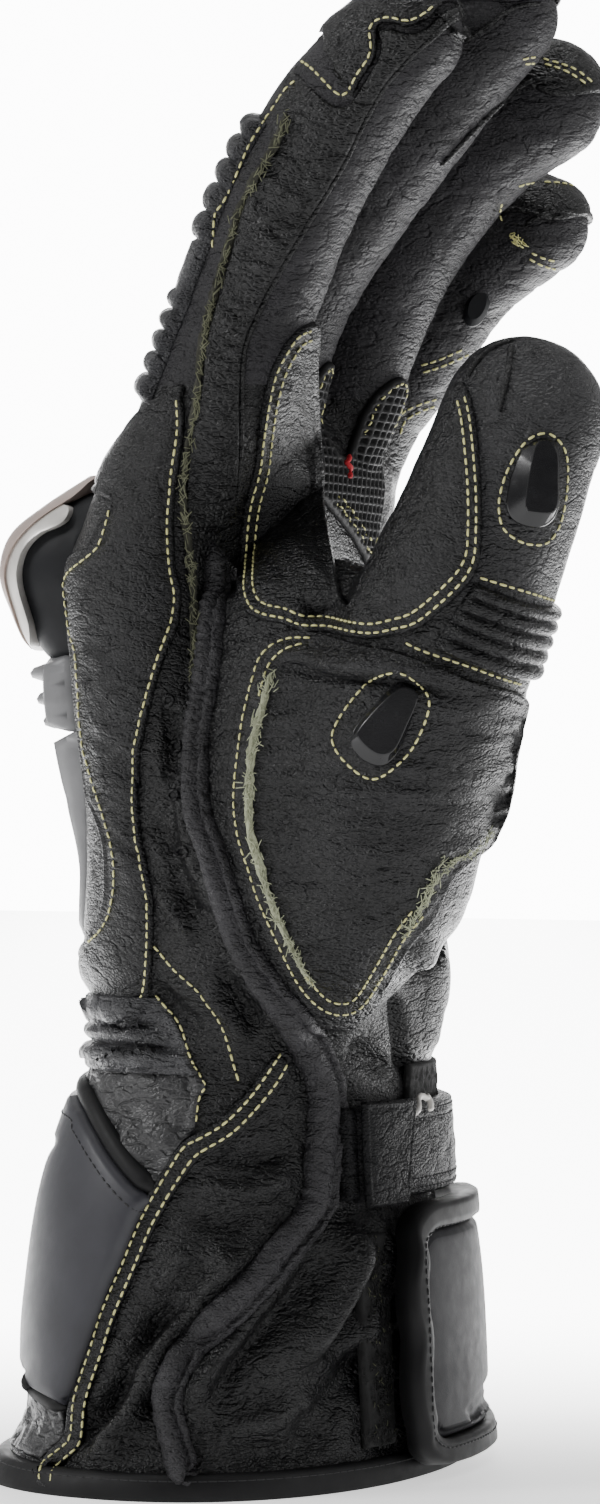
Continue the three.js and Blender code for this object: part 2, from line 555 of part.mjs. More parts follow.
// What lies on the palm side of the cuff: each one's area (y, z) and its lifts above the cuff
const cuffLayer = (area, [low, high]) => layer(cuff, low, high, slab(area, 'front', PALM_SIDE));
const STRAP = { y: [-20, 42], z: [56, 75.5], lift: [2, 5] };
const KEEPER = { area: [[-20, 54.8], [-7.5, 54.8], [-3.5, 76.8], [-20, 76.8]], lift: [5.35, 6.9] };
const LOOP_PAD = { y: [2, 46], z: [57, 83], lift: [GAP, 1.65] };
const HOOK_STRIP = { y: [-21, -12.5], z: [7, 50], lift: [GAP, 2.2] };
const FLAP = { y: [-13, 50], z: [1.5, 54.8], corner: 13, border: 5.2, lift: [4, 9.2], plate: [4.4, 8.4] };
piece('wrist_strap', cuffLayer(rectangle(STRAP.y, STRAP.z), STRAP.lift), 'leather');
piece('strap_keeper', cuffLayer(KEEPER.area, KEEPER.lift), 'leather');
piece('strap_loop_pad', cuffLayer(rectangle(LOOP_PAD.y, LOOP_PAD.z), LOOP_PAD.lift), 'fuzz');
piece('hook_strip', cuffLayer(rectangle(HOOK_STRIP.y, HOOK_STRIP.z), HOOK_STRIP.lift), 'fuzz');
const flapArea = (margin) => roundedRect(FLAP.y, FLAP.z, margin, FLAP.corner);
const flapSlab = cuffLayer(flapArea(0), FLAP.lift);
piece('flap_border', flapSlab.subtract(slab(flapArea(FLAP.border), 'front', PALM_SIDE)), 'rubber');
piece('closure_flap', cuffLayer(flapArea(FLAP.border + GAP), FLAP.plate), 'coated');

const box = new THREE.Box3().setFromObject(glove);
const middle = box.getCenter(new THREE.Vector3());
glove.position.set(-middle.x, -middle.y, -box.min.z);
glove.updateMatrixWorld(true);

export default glove;
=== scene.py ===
"""A left-hand leather motorcycle glove, standing on its cuff hem with the fingers up.

Every length below is in millimetres in the glove's own drawing space, +Z up, +X the palm side and -Y the
thumb side, until a mesh is made: `Space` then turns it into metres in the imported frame.
"""

from __future__ import annotations

import logging
import math
from dataclasses import dataclass, field
from enum import Enum
from typing import Callable, Sequence

import bpy
import numpy as np
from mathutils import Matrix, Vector
from mathutils.bvhtree import BVHTree
from mathutils.geometry import delaunay_2d_cdt

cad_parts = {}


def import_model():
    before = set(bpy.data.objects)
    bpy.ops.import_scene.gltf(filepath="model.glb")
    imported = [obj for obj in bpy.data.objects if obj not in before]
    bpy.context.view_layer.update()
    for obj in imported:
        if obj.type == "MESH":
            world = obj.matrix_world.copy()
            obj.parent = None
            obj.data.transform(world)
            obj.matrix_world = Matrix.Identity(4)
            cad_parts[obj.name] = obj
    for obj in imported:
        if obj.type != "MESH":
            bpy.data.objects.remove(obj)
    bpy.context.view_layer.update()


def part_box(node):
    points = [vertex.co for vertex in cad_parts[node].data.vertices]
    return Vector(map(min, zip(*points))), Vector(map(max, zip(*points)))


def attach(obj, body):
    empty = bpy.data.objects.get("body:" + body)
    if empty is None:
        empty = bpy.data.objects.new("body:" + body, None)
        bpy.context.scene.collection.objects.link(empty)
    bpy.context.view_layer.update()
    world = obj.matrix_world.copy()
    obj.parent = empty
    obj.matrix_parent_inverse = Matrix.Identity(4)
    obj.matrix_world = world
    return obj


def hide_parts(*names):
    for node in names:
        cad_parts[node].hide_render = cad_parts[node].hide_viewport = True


LOG = logging.getLogger("glove")
MM = 0.001
PIXEL = 0.198
ROOT = "root"
Array = np.ndarray
Piece = bpy.types.Object
Socket = bpy.types.NodeSocket
Point = tuple[float, float]
Triple = tuple[float, float, float]
Line = Sequence[Point]
Faces = list[tuple[int, ...]]


class Slot(Enum):
    """The record's material slots."""

    LEATHER = "leather_black"
    SOFT = "leather_soft"
    SHINY = "leather_shiny"
    TITANIUM = "titanium"
    GREY_RUBBER = "rubber_grey"
    DARK_PLASTIC = "plastic_dark"
    GLOSS = "plastic_gloss"
    COATED = "coated_grey"
    BLACK_RUBBER = "rubber_black"
    FUZZ = "hook_loop"


@dataclass
class Space:
    """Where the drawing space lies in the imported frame."""

    shift: Array

    @classmethod
    def from_hem(cls, hem_middle: float) -> "Space":
        """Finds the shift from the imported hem, whose middle is at a known drawing x.

        Args:
            hem_middle: x of the hem's middle in the drawing space.

        Returns:
            The space that turns drawing millimetres into packed metres.
        """
        low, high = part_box("hem_binding")
        middle = (np.array(low) + np.array(high)) / 2 / MM
        return cls(np.array([middle[0] - hem_middle, middle[1], 0.0]))

    def metres(self, points: Array) -> Array:
        """Drawing points as packed metres."""
        return (np.asarray(points, float) + self.shift) * MM


@dataclass(frozen=True)
class PhotoView:
    """The camera of the photograph: level, turned from the thumb side towards the palm."""

    turn: float = 27.0
    distance: float = 1000.0
    height: float = 146.0
    focal: float = 4888.0
    middle: Point = (300.0, 752.0)
    long_side: float = 1504.0
    sensor: float = 36.0

    @property
    def back(self) -> Array:
        """The level direction from the glove to the camera."""
        return np.array([math.sin(math.radians(self.turn)), -math.cos(math.radians(self.turn)), 0.0])

    @property
    def across(self) -> Array:
        """The picture's right."""
        return np.array([math.cos(math.radians(self.turn)), math.sin(math.radians(self.turn)), 0.0])

    @property
    def eye(self) -> Array:
        """The camera's place."""
        return self.back * self.distance + np.array([0, 0, self.height])

    def project(self, points: Array) -> Array:
        """Picture places of drawing points.

        Args:
            points: N drawing points.

        Returns:
            N pixel places, right and down.
        """
        scale = self.focal / (self.distance - points @ self.back)
        right = self.middle[0] + (points @ self.across) * scale
        down = self.middle[1] - (points[:, 2] - self.height) * scale
        return np.column_stack([right, down])

    def build(self, space: Space) -> None:
        """Adds the camera.

        Args:
            space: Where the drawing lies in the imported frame.
        """
        data = bpy.data.cameras.new("photo_camera")
        data.sensor_width = self.sensor
        data.lens = self.focal * self.sensor / self.long_side
        data.clip_start = 0.05
        data.clip_end = 20.0
        camera = bpy.data.objects.new("photo_camera", data)
        bpy.context.scene.collection.objects.link(camera)
        camera.location = Vector(space.metres(self.eye))
        camera.rotation_euler = (math.radians(90), 0, math.radians(self.turn))
        bpy.context.scene.camera = camera


VIEW = PhotoView()


def smoothstep(low: float, high: float, value: Array) -> Array:
    """A smooth climb from 0 at low to 1 at high."""
    t = np.clip((np.asarray(value, float) - low) / (high - low), 0, 1)
    return t * t * (3 - 2 * t)


def unit(vectors: Array) -> Array:
    """Vectors at length one."""
    return vectors / np.maximum(np.linalg.norm(vectors, axis=-1, keepdims=True), 1e-12)


def leaning(degrees: float) -> Array:
    """The direction that leans from straight up towards the palm side."""
    return np.array([math.sin(math.radians(degrees)), 0, math.cos(math.radians(degrees))])


def spline(rows: Array, places: Array) -> Array:
    """A table's values between its rows, on a smooth curve through them.

    Args:
        rows: The table, one row a section.
        places: Row numbers, with fractions.

    Returns:
        One row for each place.
    """
    count = len(rows)
    index = np.clip(np.floor(places).astype(int), 0, count - 2)
    f = (np.asarray(places, float) - index)[:, None]
    a, b, c, d = (rows[np.clip(index + k, 0, count - 1)] for k in (-1, 0, 1, 2))
    slope_b, slope_c = (c - a) / 2, (d - b) / 2
    return ((2 * f**3 - 3 * f**2 + 1) * b + (f**3 - 2 * f**2 + f) * slope_b
            + (3 * f**2 - 2 * f**3) * c + (f**3 - f**2) * slope_c)


def smooth_line(points: Line, step: float, closed: bool = False) -> Array:
    """An even, smooth line through a few points.

    Args:
        points: The points it passes.
        step: The spacing of the result, in the points' own unit.
        closed: Whether the last point joins the first.

    Returns:
        The evenly spaced points; a closed line doesn't repeat its first point.
    """
    knots = np.array(points, float)
    if closed:
        ring = np.vstack([knots[-1:], knots, knots[:2]])
        dense = np.vstack([spline(ring, np.linspace(k, k + 1, 25)[:-1]) for k in range(1, len(knots) + 1)])
        dense = np.vstack([dense, dense[:1]])
    else:
        dense = spline(knots, np.linspace(0, len(knots) - 1, 24 * (len(knots) - 1) + 1))
    length = np.concatenate([[0], np.cumsum(np.linalg.norm(np.diff(dense, axis=0), axis=1))])
    count = max(int(round(length[-1] / step)), 2)
    at = np.linspace(0, length[-1], count + 1)
    line = np.column_stack([np.interp(at, length, dense[:, k]) for k in range(dense.shape[1])])
    return line[:-1] if closed else line


def line_distance(points: Array, line: Array) -> tuple[Array, Array, Array]:
    """How far flat points are from a polyline.

    Args:
        points: N flat points.
        line: The polyline's points.

    Returns:
        The distance, the share of the line's length at the nearest place, and the side (+ is left).
    """
    start, step = line[:-1], np.diff(line, axis=0)
    lengths = np.linalg.norm(step, axis=1)
    before = np.concatenate([[0], np.cumsum(lengths)])
    best = np.full(len(points), np.inf)
    share = np.zeros(len(points))
    side = np.zeros(len(points))
    for k in range(len(step)):
        offset = points - start[k]
        t = np.clip(offset @ step[k] / max(lengths[k] ** 2, 1e-12), 0, 1)
        gap = offset - t[:, None] * step[k]
        distance = np.linalg.norm(gap, axis=1)
        closer = distance < best
        best[closer] = distance[closer]
        share[closer] = (before[k] + t[closer] * lengths[k]) / before[-1]
        turn = step[k, 0] * offset[:, 1] - step[k, 1] * offset[:, 0]
        side[closer] = np.sign(turn[closer])
    return best, share, side


def inside(points: Array, outline: Array) -> Array:
    """Which flat points lie in a closed outline."""
    result = np.zeros(len(points), bool)
    x, y = points[:, 0], points[:, 1]
    for (x0, y0), (x1, y1) in zip(outline, np.roll(outline, -1, axis=0)):
        crosses = (y0 > y) != (y1 > y)
        rise = y1 - y0 if y1 != y0 else 1e-12
        result ^= crosses & (x < (x1 - x0) * (y - y0) / rise + x0)
    return result


class Noise:
    """Smooth, repeatable noise between -1 and 1 in space."""

    SIZE = 32

    def __init__(self, seed: int) -> None:
        """Fills the lattice from a seed."""
        self.lattice = np.random.default_rng(seed).random((self.SIZE,) * 3) * 2 - 1

    def at(self, points: Array) -> Array:
        """The noise at some places.

        Args:
            points: N points, one lattice cell a unit.

        Returns:
            N values.
        """
        base = np.floor(points).astype(int)
        f = points - base
        f = f * f * (3 - 2 * f)
        total = np.zeros(len(points))
        for i in (0, 1):
            for j in (0, 1):
                for k in (0, 1):
                    corner = (base + (i, j, k)) % self.SIZE
                    weight = (np.where(i, f[:, 0], 1 - f[:, 0]) * np.where(j, f[:, 1], 1 - f[:, 1])
                              * np.where(k, f[:, 2], 1 - f[:, 2]))
                    total += weight * self.lattice[corner[:, 0], corner[:, 1], corner[:, 2]]
        return total

    def ridges(self, points: Array) -> Array:
        """Thin, branching valleys, from -1 in a valley to 0."""
        return -np.clip(1 - np.abs(self.at(points)) * 3.2, 0, 1) ** 2


def deselect() -> None:
    """Deselects every object."""
    for other in bpy.context.selected_objects:
        other.select_set(False)


def pick(piece: Piece) -> None:
    """Makes one object the only selected and active one."""
    deselect()
    piece.select_set(True)
    bpy.context.view_layer.objects.active = piece


def make_object(name: str, points: Array, faces: Faces) -> Piece:
    """A mesh object from points and faces.

    Args:
        name: Its name.
        points: The corners, in whatever unit the object is to have.
        faces: Corner numbers of each face.

    Returns:
        The linked object, shaded smooth.
    """
    mesh = bpy.data.meshes.new(name)
    mesh.from_pydata([tuple(p) for p in np.asarray(points, float)], [], [tuple(map(int, f)) for f in faces])
    mesh.validate()
    mesh.shade_smooth()
    piece = bpy.data.objects.new(name, mesh)
    bpy.context.scene.collection.objects.link(piece)
    return piece


def add_modifier(piece: Piece, kind: str, **settings: object) -> None:
    """Adds a modifier and applies it.

    Args:
        piece: The object.
        kind: The modifier's type.
        settings: Its settings.
    """
    pick(piece)
    modifier = piece.modifiers.new(kind.lower(), kind)
    for key, value in settings.items():
        setattr(modifier, key, value)
    bpy.ops.object.modifier_apply(modifier=modifier.name)


def mesh_points(piece: Piece) -> Array:
    """The corners of an object's mesh."""
    points = np.zeros(len(piece.data.vertices) * 3)
    piece.data.vertices.foreach_get("co", points)
    return points.reshape(-1, 3)


def mesh_normals(piece: Piece) -> Array:
    """The corner normals of an object's mesh."""
    normals = np.zeros(len(piece.data.vertices) * 3)
    piece.data.vertices.foreach_get("normal", normals)
    return normals.reshape(-1, 3)


def set_points(piece: Piece, points: Array) -> None:
    """Moves the corners of an object's mesh."""
    piece.data.vertices.foreach_set("co", np.asarray(points, float).ravel())
    piece.data.update()


def grid_faces(rows: int, columns: int, wrap: bool = False, start: int = 0, loop: bool = False) -> Faces:
    """Quads of a grid of points.

    Args:
        rows: Rows of points.
        columns: Points in a row.
        wrap: Whether each row closes on itself.
        start: The first point's number.
        loop: Whether the last row joins the first.

    Returns:
        The faces.
    """
    faces = []
    for r in range(rows if loop else rows - 1):
        here, above = start + r * columns, start + (r + 1) % rows * columns
        for c in range(columns if wrap else columns - 1):
            beside = (c + 1) % columns
            faces.append((here + c, here + beside, above + beside, above + c))
    return faces


def end_faces(rows: int, columns: int, start: int = 0) -> Faces:
    """The two caps of a tube of wrapped rows, turned outwards."""
    first, last = range(columns), range((rows - 1) * columns, rows * columns)
    return [tuple(start + k for k in reversed(first)), tuple(start + k for k in last)]


def outward(points: Array, faces: Faces) -> Faces:
    """A closed mesh's faces, turned outwards."""
    volume = 0.0
    for first, *others in faces:
        for b, c in zip(others[:-1], others[1:]):
            volume += float(points[first] @ np.cross(points[b], points[c]))
    return faces if volume > 0 else [tuple(reversed(face)) for face in faces]


def sheet_normals(points: Array, faces: Faces) -> Array:
    """Corner normals of a sheet of triangles."""
    corners = np.array(faces)
    a, b, c = (points[corners[:, k]] for k in range(3))
    across = np.cross(b - a, c - a)
    normals = np.zeros((len(points), 3))
    for k in range(3):
        np.add.at(normals, corners[:, k], across)
    return unit(normals)


def closed_slab(top: Array, bottom: Array, faces: Faces) -> tuple[Array, Faces]:
    """Closes a sheet of faces with a copy under it and walls round its rim.

    Args:
        top: The sheet's corners.
        bottom: The matching corners under it.
        faces: The sheet's faces, seen from above.

    Returns:
        All corners and all faces.
    """
    count = len(top)
    edges: dict[tuple[int, int], int] = {}
    for face in faces:
        for a, b in zip(face, (*face[1:], face[0])):
            edges[(a, b)] = edges.get((a, b), 0) + 1
    rim = [(a, b) for a, b in edges if (b, a) not in edges]
    walls = [(b, a, a + count, b + count) for a, b in rim]
    under = [tuple(v + count for v in reversed(face)) for face in faces]
    return np.vstack([top, bottom]), [*map(tuple, faces), *under, *walls]


BODY_ROWS = (
    (-16.6, 0, 0, 0, 43.2, 57, 2.2),
    (-13.4, 0, 12, 0, 38.6, 52.8, 2.2),
    (-12.9, 0, 34, 0, 37.2, 50.5, 2.2),
    (-12.2, 0, 56, 0, 35, 47.4, 2.2),
    (-9.6, 0, 76, 0, 31.9, 42.8, 2.2),
    (-7.3, 0, 88, 0, 31, 40, 2.2),
    (-6.4, 0, 96, 0, 31.8, 41.2, 2.3),
    (-7.2, 0, 104, 0, 33, 44, 2.4),
    (-8.4, 0, 122, 0, 28.7, 46.6, 2.5),
    (-12.1, 0, 146, 0, 24.5, 48.3, 2.5),
    (-15.6, -1.5, 178, 0, 22.5, 49.5, 2.5),
    (-12.6, -1.5, 192, 0, 21.3, 49, 2.5),
    (-8.4, -1.5, 206, 0, 18, 47, 2.5),
    (-6, -1.5, 217.6, 0, 10.5, 43.5, 2.4),
)
DIGIT_ROWS = {
    "index": (
        (-10, -35.2, 194, 12, 14.5, 11.8),
        (-1, -35.2, 216, 20, 13.8, 11.3),
        (6.8, -35.1, 235, 21, 13.6, 11.2),
        (15.8, -35, 255, 27, 13.8, 11.1),
        (25.2, -34.6, 269.5, 38, 13.2, 10.8),
        (34, -34.1, 279.6, 46, 12.2, 10),
        (41, -33.6, 285.4, 53, 11, 9),
    ),
    "middle": (
        (-12, -12.2, 194, 12, 14.5, 11.8),
        (-3.8, -12.2, 220, 18, 13.4, 11.4),
        (3.4, -12.2, 238, 25, 13.2, 11.3),
        (13, -12.2, 252.5, 33, 13.4, 11.3),
        (23.5, -12.1, 265, 38, 13.4, 11.1),
        (34.5, -12, 276.8, 43, 13, 10.8),
        (43.6, -11.7, 286, 48, 12.4, 10.2),
        (50.2, -11.5, 291.6, 56, 12, 9.4),
    ),
    "ring": (
        (-11, 10.6, 194, 14, 14, 11.1),
        (3.4, 10.6, 221, 28, 13, 10.8),
        (11, 10.6, 237.5, 28, 12.6, 10.8),
        (18.5, 10.5, 250, 34, 12.6, 10.7),
        (28, 10.3, 262, 43, 12.8, 10.6),
        (40, 10, 271.6, 56, 12.6, 10.3),
        (51, 9.6, 276.6, 66, 12, 9.8),
    ),
    "little": (
        (-12, 32.4, 194, 16, 12.8, 10),
        (-1.6, 32.3, 215.5, 33, 11.6, 9.9),
        (6.9, 32, 225.5, 40, 11, 9.8),
        (14.5, 31.7, 234, 42, 10.6, 9.6),
        (21.5, 31.3, 241.7, 46, 10.2, 9.4),
        (30.5, 30.8, 248.5, 54, 10, 9.2),
        (40.5, 30.2, 254.2, 62, 9.8, 9),
    ),
    "thumb": (
        (7.5, -22, 93, 8, 15, 14),
        (17.5, -26, 112, 14, 24, 20),
        (25, -28, 124, 22, 25, 21),
        (30.5, -30, 137, 26, 24.5, 21),
        (39, -32.5, 152, 27, 22, 19.6),
        (48.6, -35.4, 169, 26, 19.4, 17.4),
        (56.4, -37, 184, 24, 17.8, 15.5),
        (62.3, -38, 197, 23, 16.8, 14.2),
        (67.5, -38, 209.5, 22, 16.2, 13.2),
    ),
}
WEB_ROWS = (
    (12, -26, 110, 0, 18, 15),
    (14, -29, 120, 0, 26, 20),
    (21, -32.6, 153, 0, 28, 17.6),
    (25, -34, 174, 0, 27.5, 12),
    (22, -34, 183.5, 0, 6, 5),
)
DEFAULT_POWER = 2.3


@dataclass
class Tube:
    """A rounded tube through a table of sections.

    Attributes:
        rows: x, y and height of each section's middle, its lean in degrees, half depth, half width and power.
        tip: Whether it ends in a round tip.
    """

    rows: Array
    tip: bool = False

    @classmethod
    def of(cls, rows: Sequence[Sequence[float]], tip: bool = False) -> "Tube":
        """A tube of a table, with the usual squareness where the table gives none."""
        full = [(*row, DEFAULT_POWER) if len(row) == 6 else tuple(row) for row in rows]
        return cls(np.array(full, float), tip)

    def points(self, places: Array, angles: Array, grow: float | Array = 0.0) -> Array:
        """Points on the tube.

        Args:
            places: Row numbers, with fractions.
            angles: Degrees round the section from the palm side, one for each place.
            grow: Millimetres outwards.

        Returns:
            The points.
        """
        x, y, z, lean, deep, wide, power = spline(self.rows, places).T
        lean = np.radians(lean)
        cosine, sine = np.cos(np.radians(angles)), np.sin(np.radians(angles))
        p = (deep + grow) * np.sign(cosine) * np.abs(cosine) ** (2 / power)
        q = (wide + grow) * np.sign(sine) * np.abs(sine) ** (2 / power)
        return np.column_stack([x + np.cos(lean) * p, y + q, z - np.sin(lean) * p])

    def middle(self, places: Array) -> Array:
        """The tube's axis at some places."""
        return spline(self.rows, places)[:, :3]

    def solid(self, name: str, step: float = 0.12, sides: int = 72) -> Piece:
        """The closed tube as a mesh, in millimetres, with a round tip where it has one.

        Args:
            name: The object's name.
            step: Rows between two rings.
            sides: Corners of a ring.

        Returns:
            The object.
        """
        angles = np.arange(sides) * 360 / sides
        count = int(round((len(self.rows) - 1) / step))
        rings = [self.points(np.full(sides, place), angles)
                 for place in np.linspace(0, len(self.rows) - 1, count + 1)]
        if self.tip:
            last = self.rows[-1]
            outer, axis = rings[-1] - last[:3], leaning(last[3])
            rings += [last[:3] + outer * math.cos(a) + axis * last[4] * math.sin(a)
                      for a in np.radians((12, 24, 36, 48, 60, 70, 79, 85))]
        points = np.vstack([*rings, rings[0].mean(0)[None], rings[-1].mean(0)[None]])
        faces = grid_faces(len(rings), sides, wrap=True)
        low, high = len(points) - 2, len(points) - 1
        top = (len(rings) - 1) * sides
        faces += [(low, (k + 1) % sides, k) for k in range(sides)]
        faces += [(high, top + k, top + (k + 1) % sides) for k in range(sides)]
        return make_object(name, points, faces)


BODY = Tube.of(BODY_ROWS)
DIGITS = {name: Tube.of(rows, tip=True) for name, rows in DIGIT_ROWS.items()}
WEB = Tube.of(WEB_ROWS)


class Chart:
    """A way to lay flat coordinates on the glove, by rays that run in towards it."""

    scale: Point = (1.0, 1.0)

    def rays(self, places: Array) -> tuple[Array, Array]:
        """Start and direction of the ray for each flat place."""
        raise NotImplementedError

    def flat(self, places: Array) -> Array:
        """Chart coordinates in rough millimetres."""
        return np.asarray(places, float) * self.scale

    def unflat(self, places: Array) -> Array:
        """Rough millimetres as chart coordinates."""
        return np.asarray(places, float) / self.scale


class PhotoChart(Chart):
    """Pixels of the photograph, right and down."""

    scale = (PIXEL, -PIXEL)

    def rays(self, places: Array) -> tuple[Array, Array]:
        """Start and direction of the ray for each pixel."""
        right = (places[:, 0] - VIEW.middle[0]) / VIEW.focal
        up = (VIEW.middle[1] - places[:, 1]) / VIEW.focal
        direction = -VIEW.back + right[:, None] * VIEW.across + up[:, None] * np.array([0, 0, 1.0])
        return np.repeat(VIEW.eye[None], len(places), axis=0), unit(direction)


class RoundChart(Chart):
    """Degrees round the hand's axis (0 the palm side, -90 the thumb side) and height."""

    scale = (0.78, 1.0)
    reach = 140.0

    @staticmethod
    def sections(heights: Array) -> Array:
        """The body's section rows at some heights."""
        rows = BODY.rows
        places = np.interp(heights, rows[:, 2], np.arange(len(rows)))
        return spline(rows, places)

    def rays(self, places: Array) -> tuple[Array, Array]:
        """Start and direction of the ray for each angle and height."""
        angles, heights = np.radians(places[:, 0]), places[:, 1]
        middle = self.sections(heights)[:, :3].copy()
        middle[:, 2] = heights
        outwards = np.column_stack([np.cos(angles), np.sin(angles), np.zeros(len(angles))])
        return middle + outwards * self.reach, -outwards

    def locate(self, points: Array) -> Array:
        """Chart places of points, with angles from -360 to 0."""
        middle = self.sections(points[:, 2])
        angles = np.degrees(np.arctan2(points[:, 1] - middle[:, 1], points[:, 0] - middle[:, 0]))
        return np.column_stack([np.where(angles > 100, angles - 360, angles), points[:, 2]])

    def placed(self, ground: Surface, line: Line) -> list[Point]:
        """Places of a line drawn on the photograph."""
        points, _ = ground.lay(PHOTO, np.array(line, float))
        return [(float(a), float(z)) for a, z in self.locate(points)]

    def from_front(self, line: Line) -> list[Point]:
        """Places on the palm side of a line drawn as y and height."""
        y, z = np.array(line, float).T
        rows = self.sections(z)
        deep, wide, power = rows[:, 4], rows[:, 5], rows[:, 6]
        q = np.clip((y - rows[:, 1]) / wide, -0.995, 0.995)
        p = ((1 - np.abs(q) ** power) ** (1 / power)) * deep
        return [(float(a), float(h)) for a, h in zip(np.degrees(np.arctan2(q * wide, p)), z)]


@dataclass
class DigitChart(Chart):
    """Degrees round a finger's axis (180 its back) and row number along it."""

    tube: Tube
    scale: Point = (0.2, 16.0)
    reach: float = 22.0

    def rays(self, places: Array) -> tuple[Array, Array]:
        """Start and direction of the ray for each angle and row."""
        x, y, z, lean, *_ = spline(self.tube.rows, places[:, 1]).T
        angles, lean = np.radians(places[:, 0]), np.radians(lean)
        level = np.cos(angles)
        outwards = np.column_stack([level * np.cos(lean), np.sin(angles), -level * np.sin(lean)])
        return np.column_stack([x, y, z]) + outwards * self.reach, -outwards

    def locate(self, points: Array) -> Array:
        """Chart places of points.

        Args:
            points: N drawing points near the finger.

        Returns:
            N places, with angles from -180 to 180.
        """
        rows = np.linspace(0, len(self.tube.rows) - 1, 400)
        middle = spline(self.tube.rows, rows)
        lean = np.radians(middle[:, 3])
        axis = np.column_stack([np.sin(lean), np.zeros(len(lean)), np.cos(lean)])
        across = np.column_stack([np.cos(lean), np.zeros(len(lean)), -np.sin(lean)])
        places = []
        for point in points:
            offset = point - middle[:, :3]
            miss = np.abs(np.einsum("ij,ij->i", offset, axis)) + 0.3 * np.linalg.norm(offset, axis=1)
            k = int(np.argmin(miss))
            places.append((math.degrees(math.atan2(offset[k, 1], offset[k] @ across[k])), rows[k]))
        return np.array(places)


@dataclass
class PoleChart(Chart):
    """Millimetres away from a pole on a ball round a point, for fingertips."""

    middle: Array
    pole: Array
    radius: float = 12.0
    reach: float = 17.0

    def axes(self) -> Array:
        """The chart's right, up and outward directions."""
        outward = unit(np.array(self.pole, float))
        right = unit(np.cross(outward, np.array([0, -1.0, 0.05])))
        return np.array([right, np.cross(outward, right), outward])

    def rays(self, places: Array) -> tuple[Array, Array]:
        """Start and direction of the ray for each place."""
        away = np.linalg.norm(places, axis=1)
        angle = away / self.radius
        flat = places / np.maximum(away, 1e-9)[:, None]
        local = np.column_stack([flat * np.sin(angle)[:, None], np.cos(angle)])
        outwards = local @ self.axes()
        return self.middle + outwards * self.reach, -outwards

    def locate(self, points: Array) -> Array:
        """Chart places of points."""
        local = unit(points - self.middle) @ self.axes().T
        angle = np.arccos(np.clip(local[:, 2], -1, 1))
        return unit(local[:, :2]) * (angle * self.radius)[:, None]


class FrontChart(Chart):
    """Depth-free places on the palm side: y and height, seen along -X."""

    reach = 75.0

    def rays(self, places: Array) -> tuple[Array, Array]:
        """Start and direction of the ray for each place."""
        starts = np.column_stack([np.full(len(places), self.reach), places[:, 0], places[:, 1]])
        return starts, np.repeat(np.array([[-1.0, 0, 0]]), len(places), axis=0)


PHOTO = PhotoChart()
ROUND = RoundChart()
FRONT = FrontChart()


def mirrored(line: Line) -> list[Point]:
    """A round-chart line's mirror image on the far side."""
    return [(-360 - angle, height) for angle, height in line]


def near_and_far(line: Line) -> list[Point]:
    """A round-chart line on the thumb side, then the same one mirrored on the far side."""
    return [*line, *reversed(mirrored(line))]


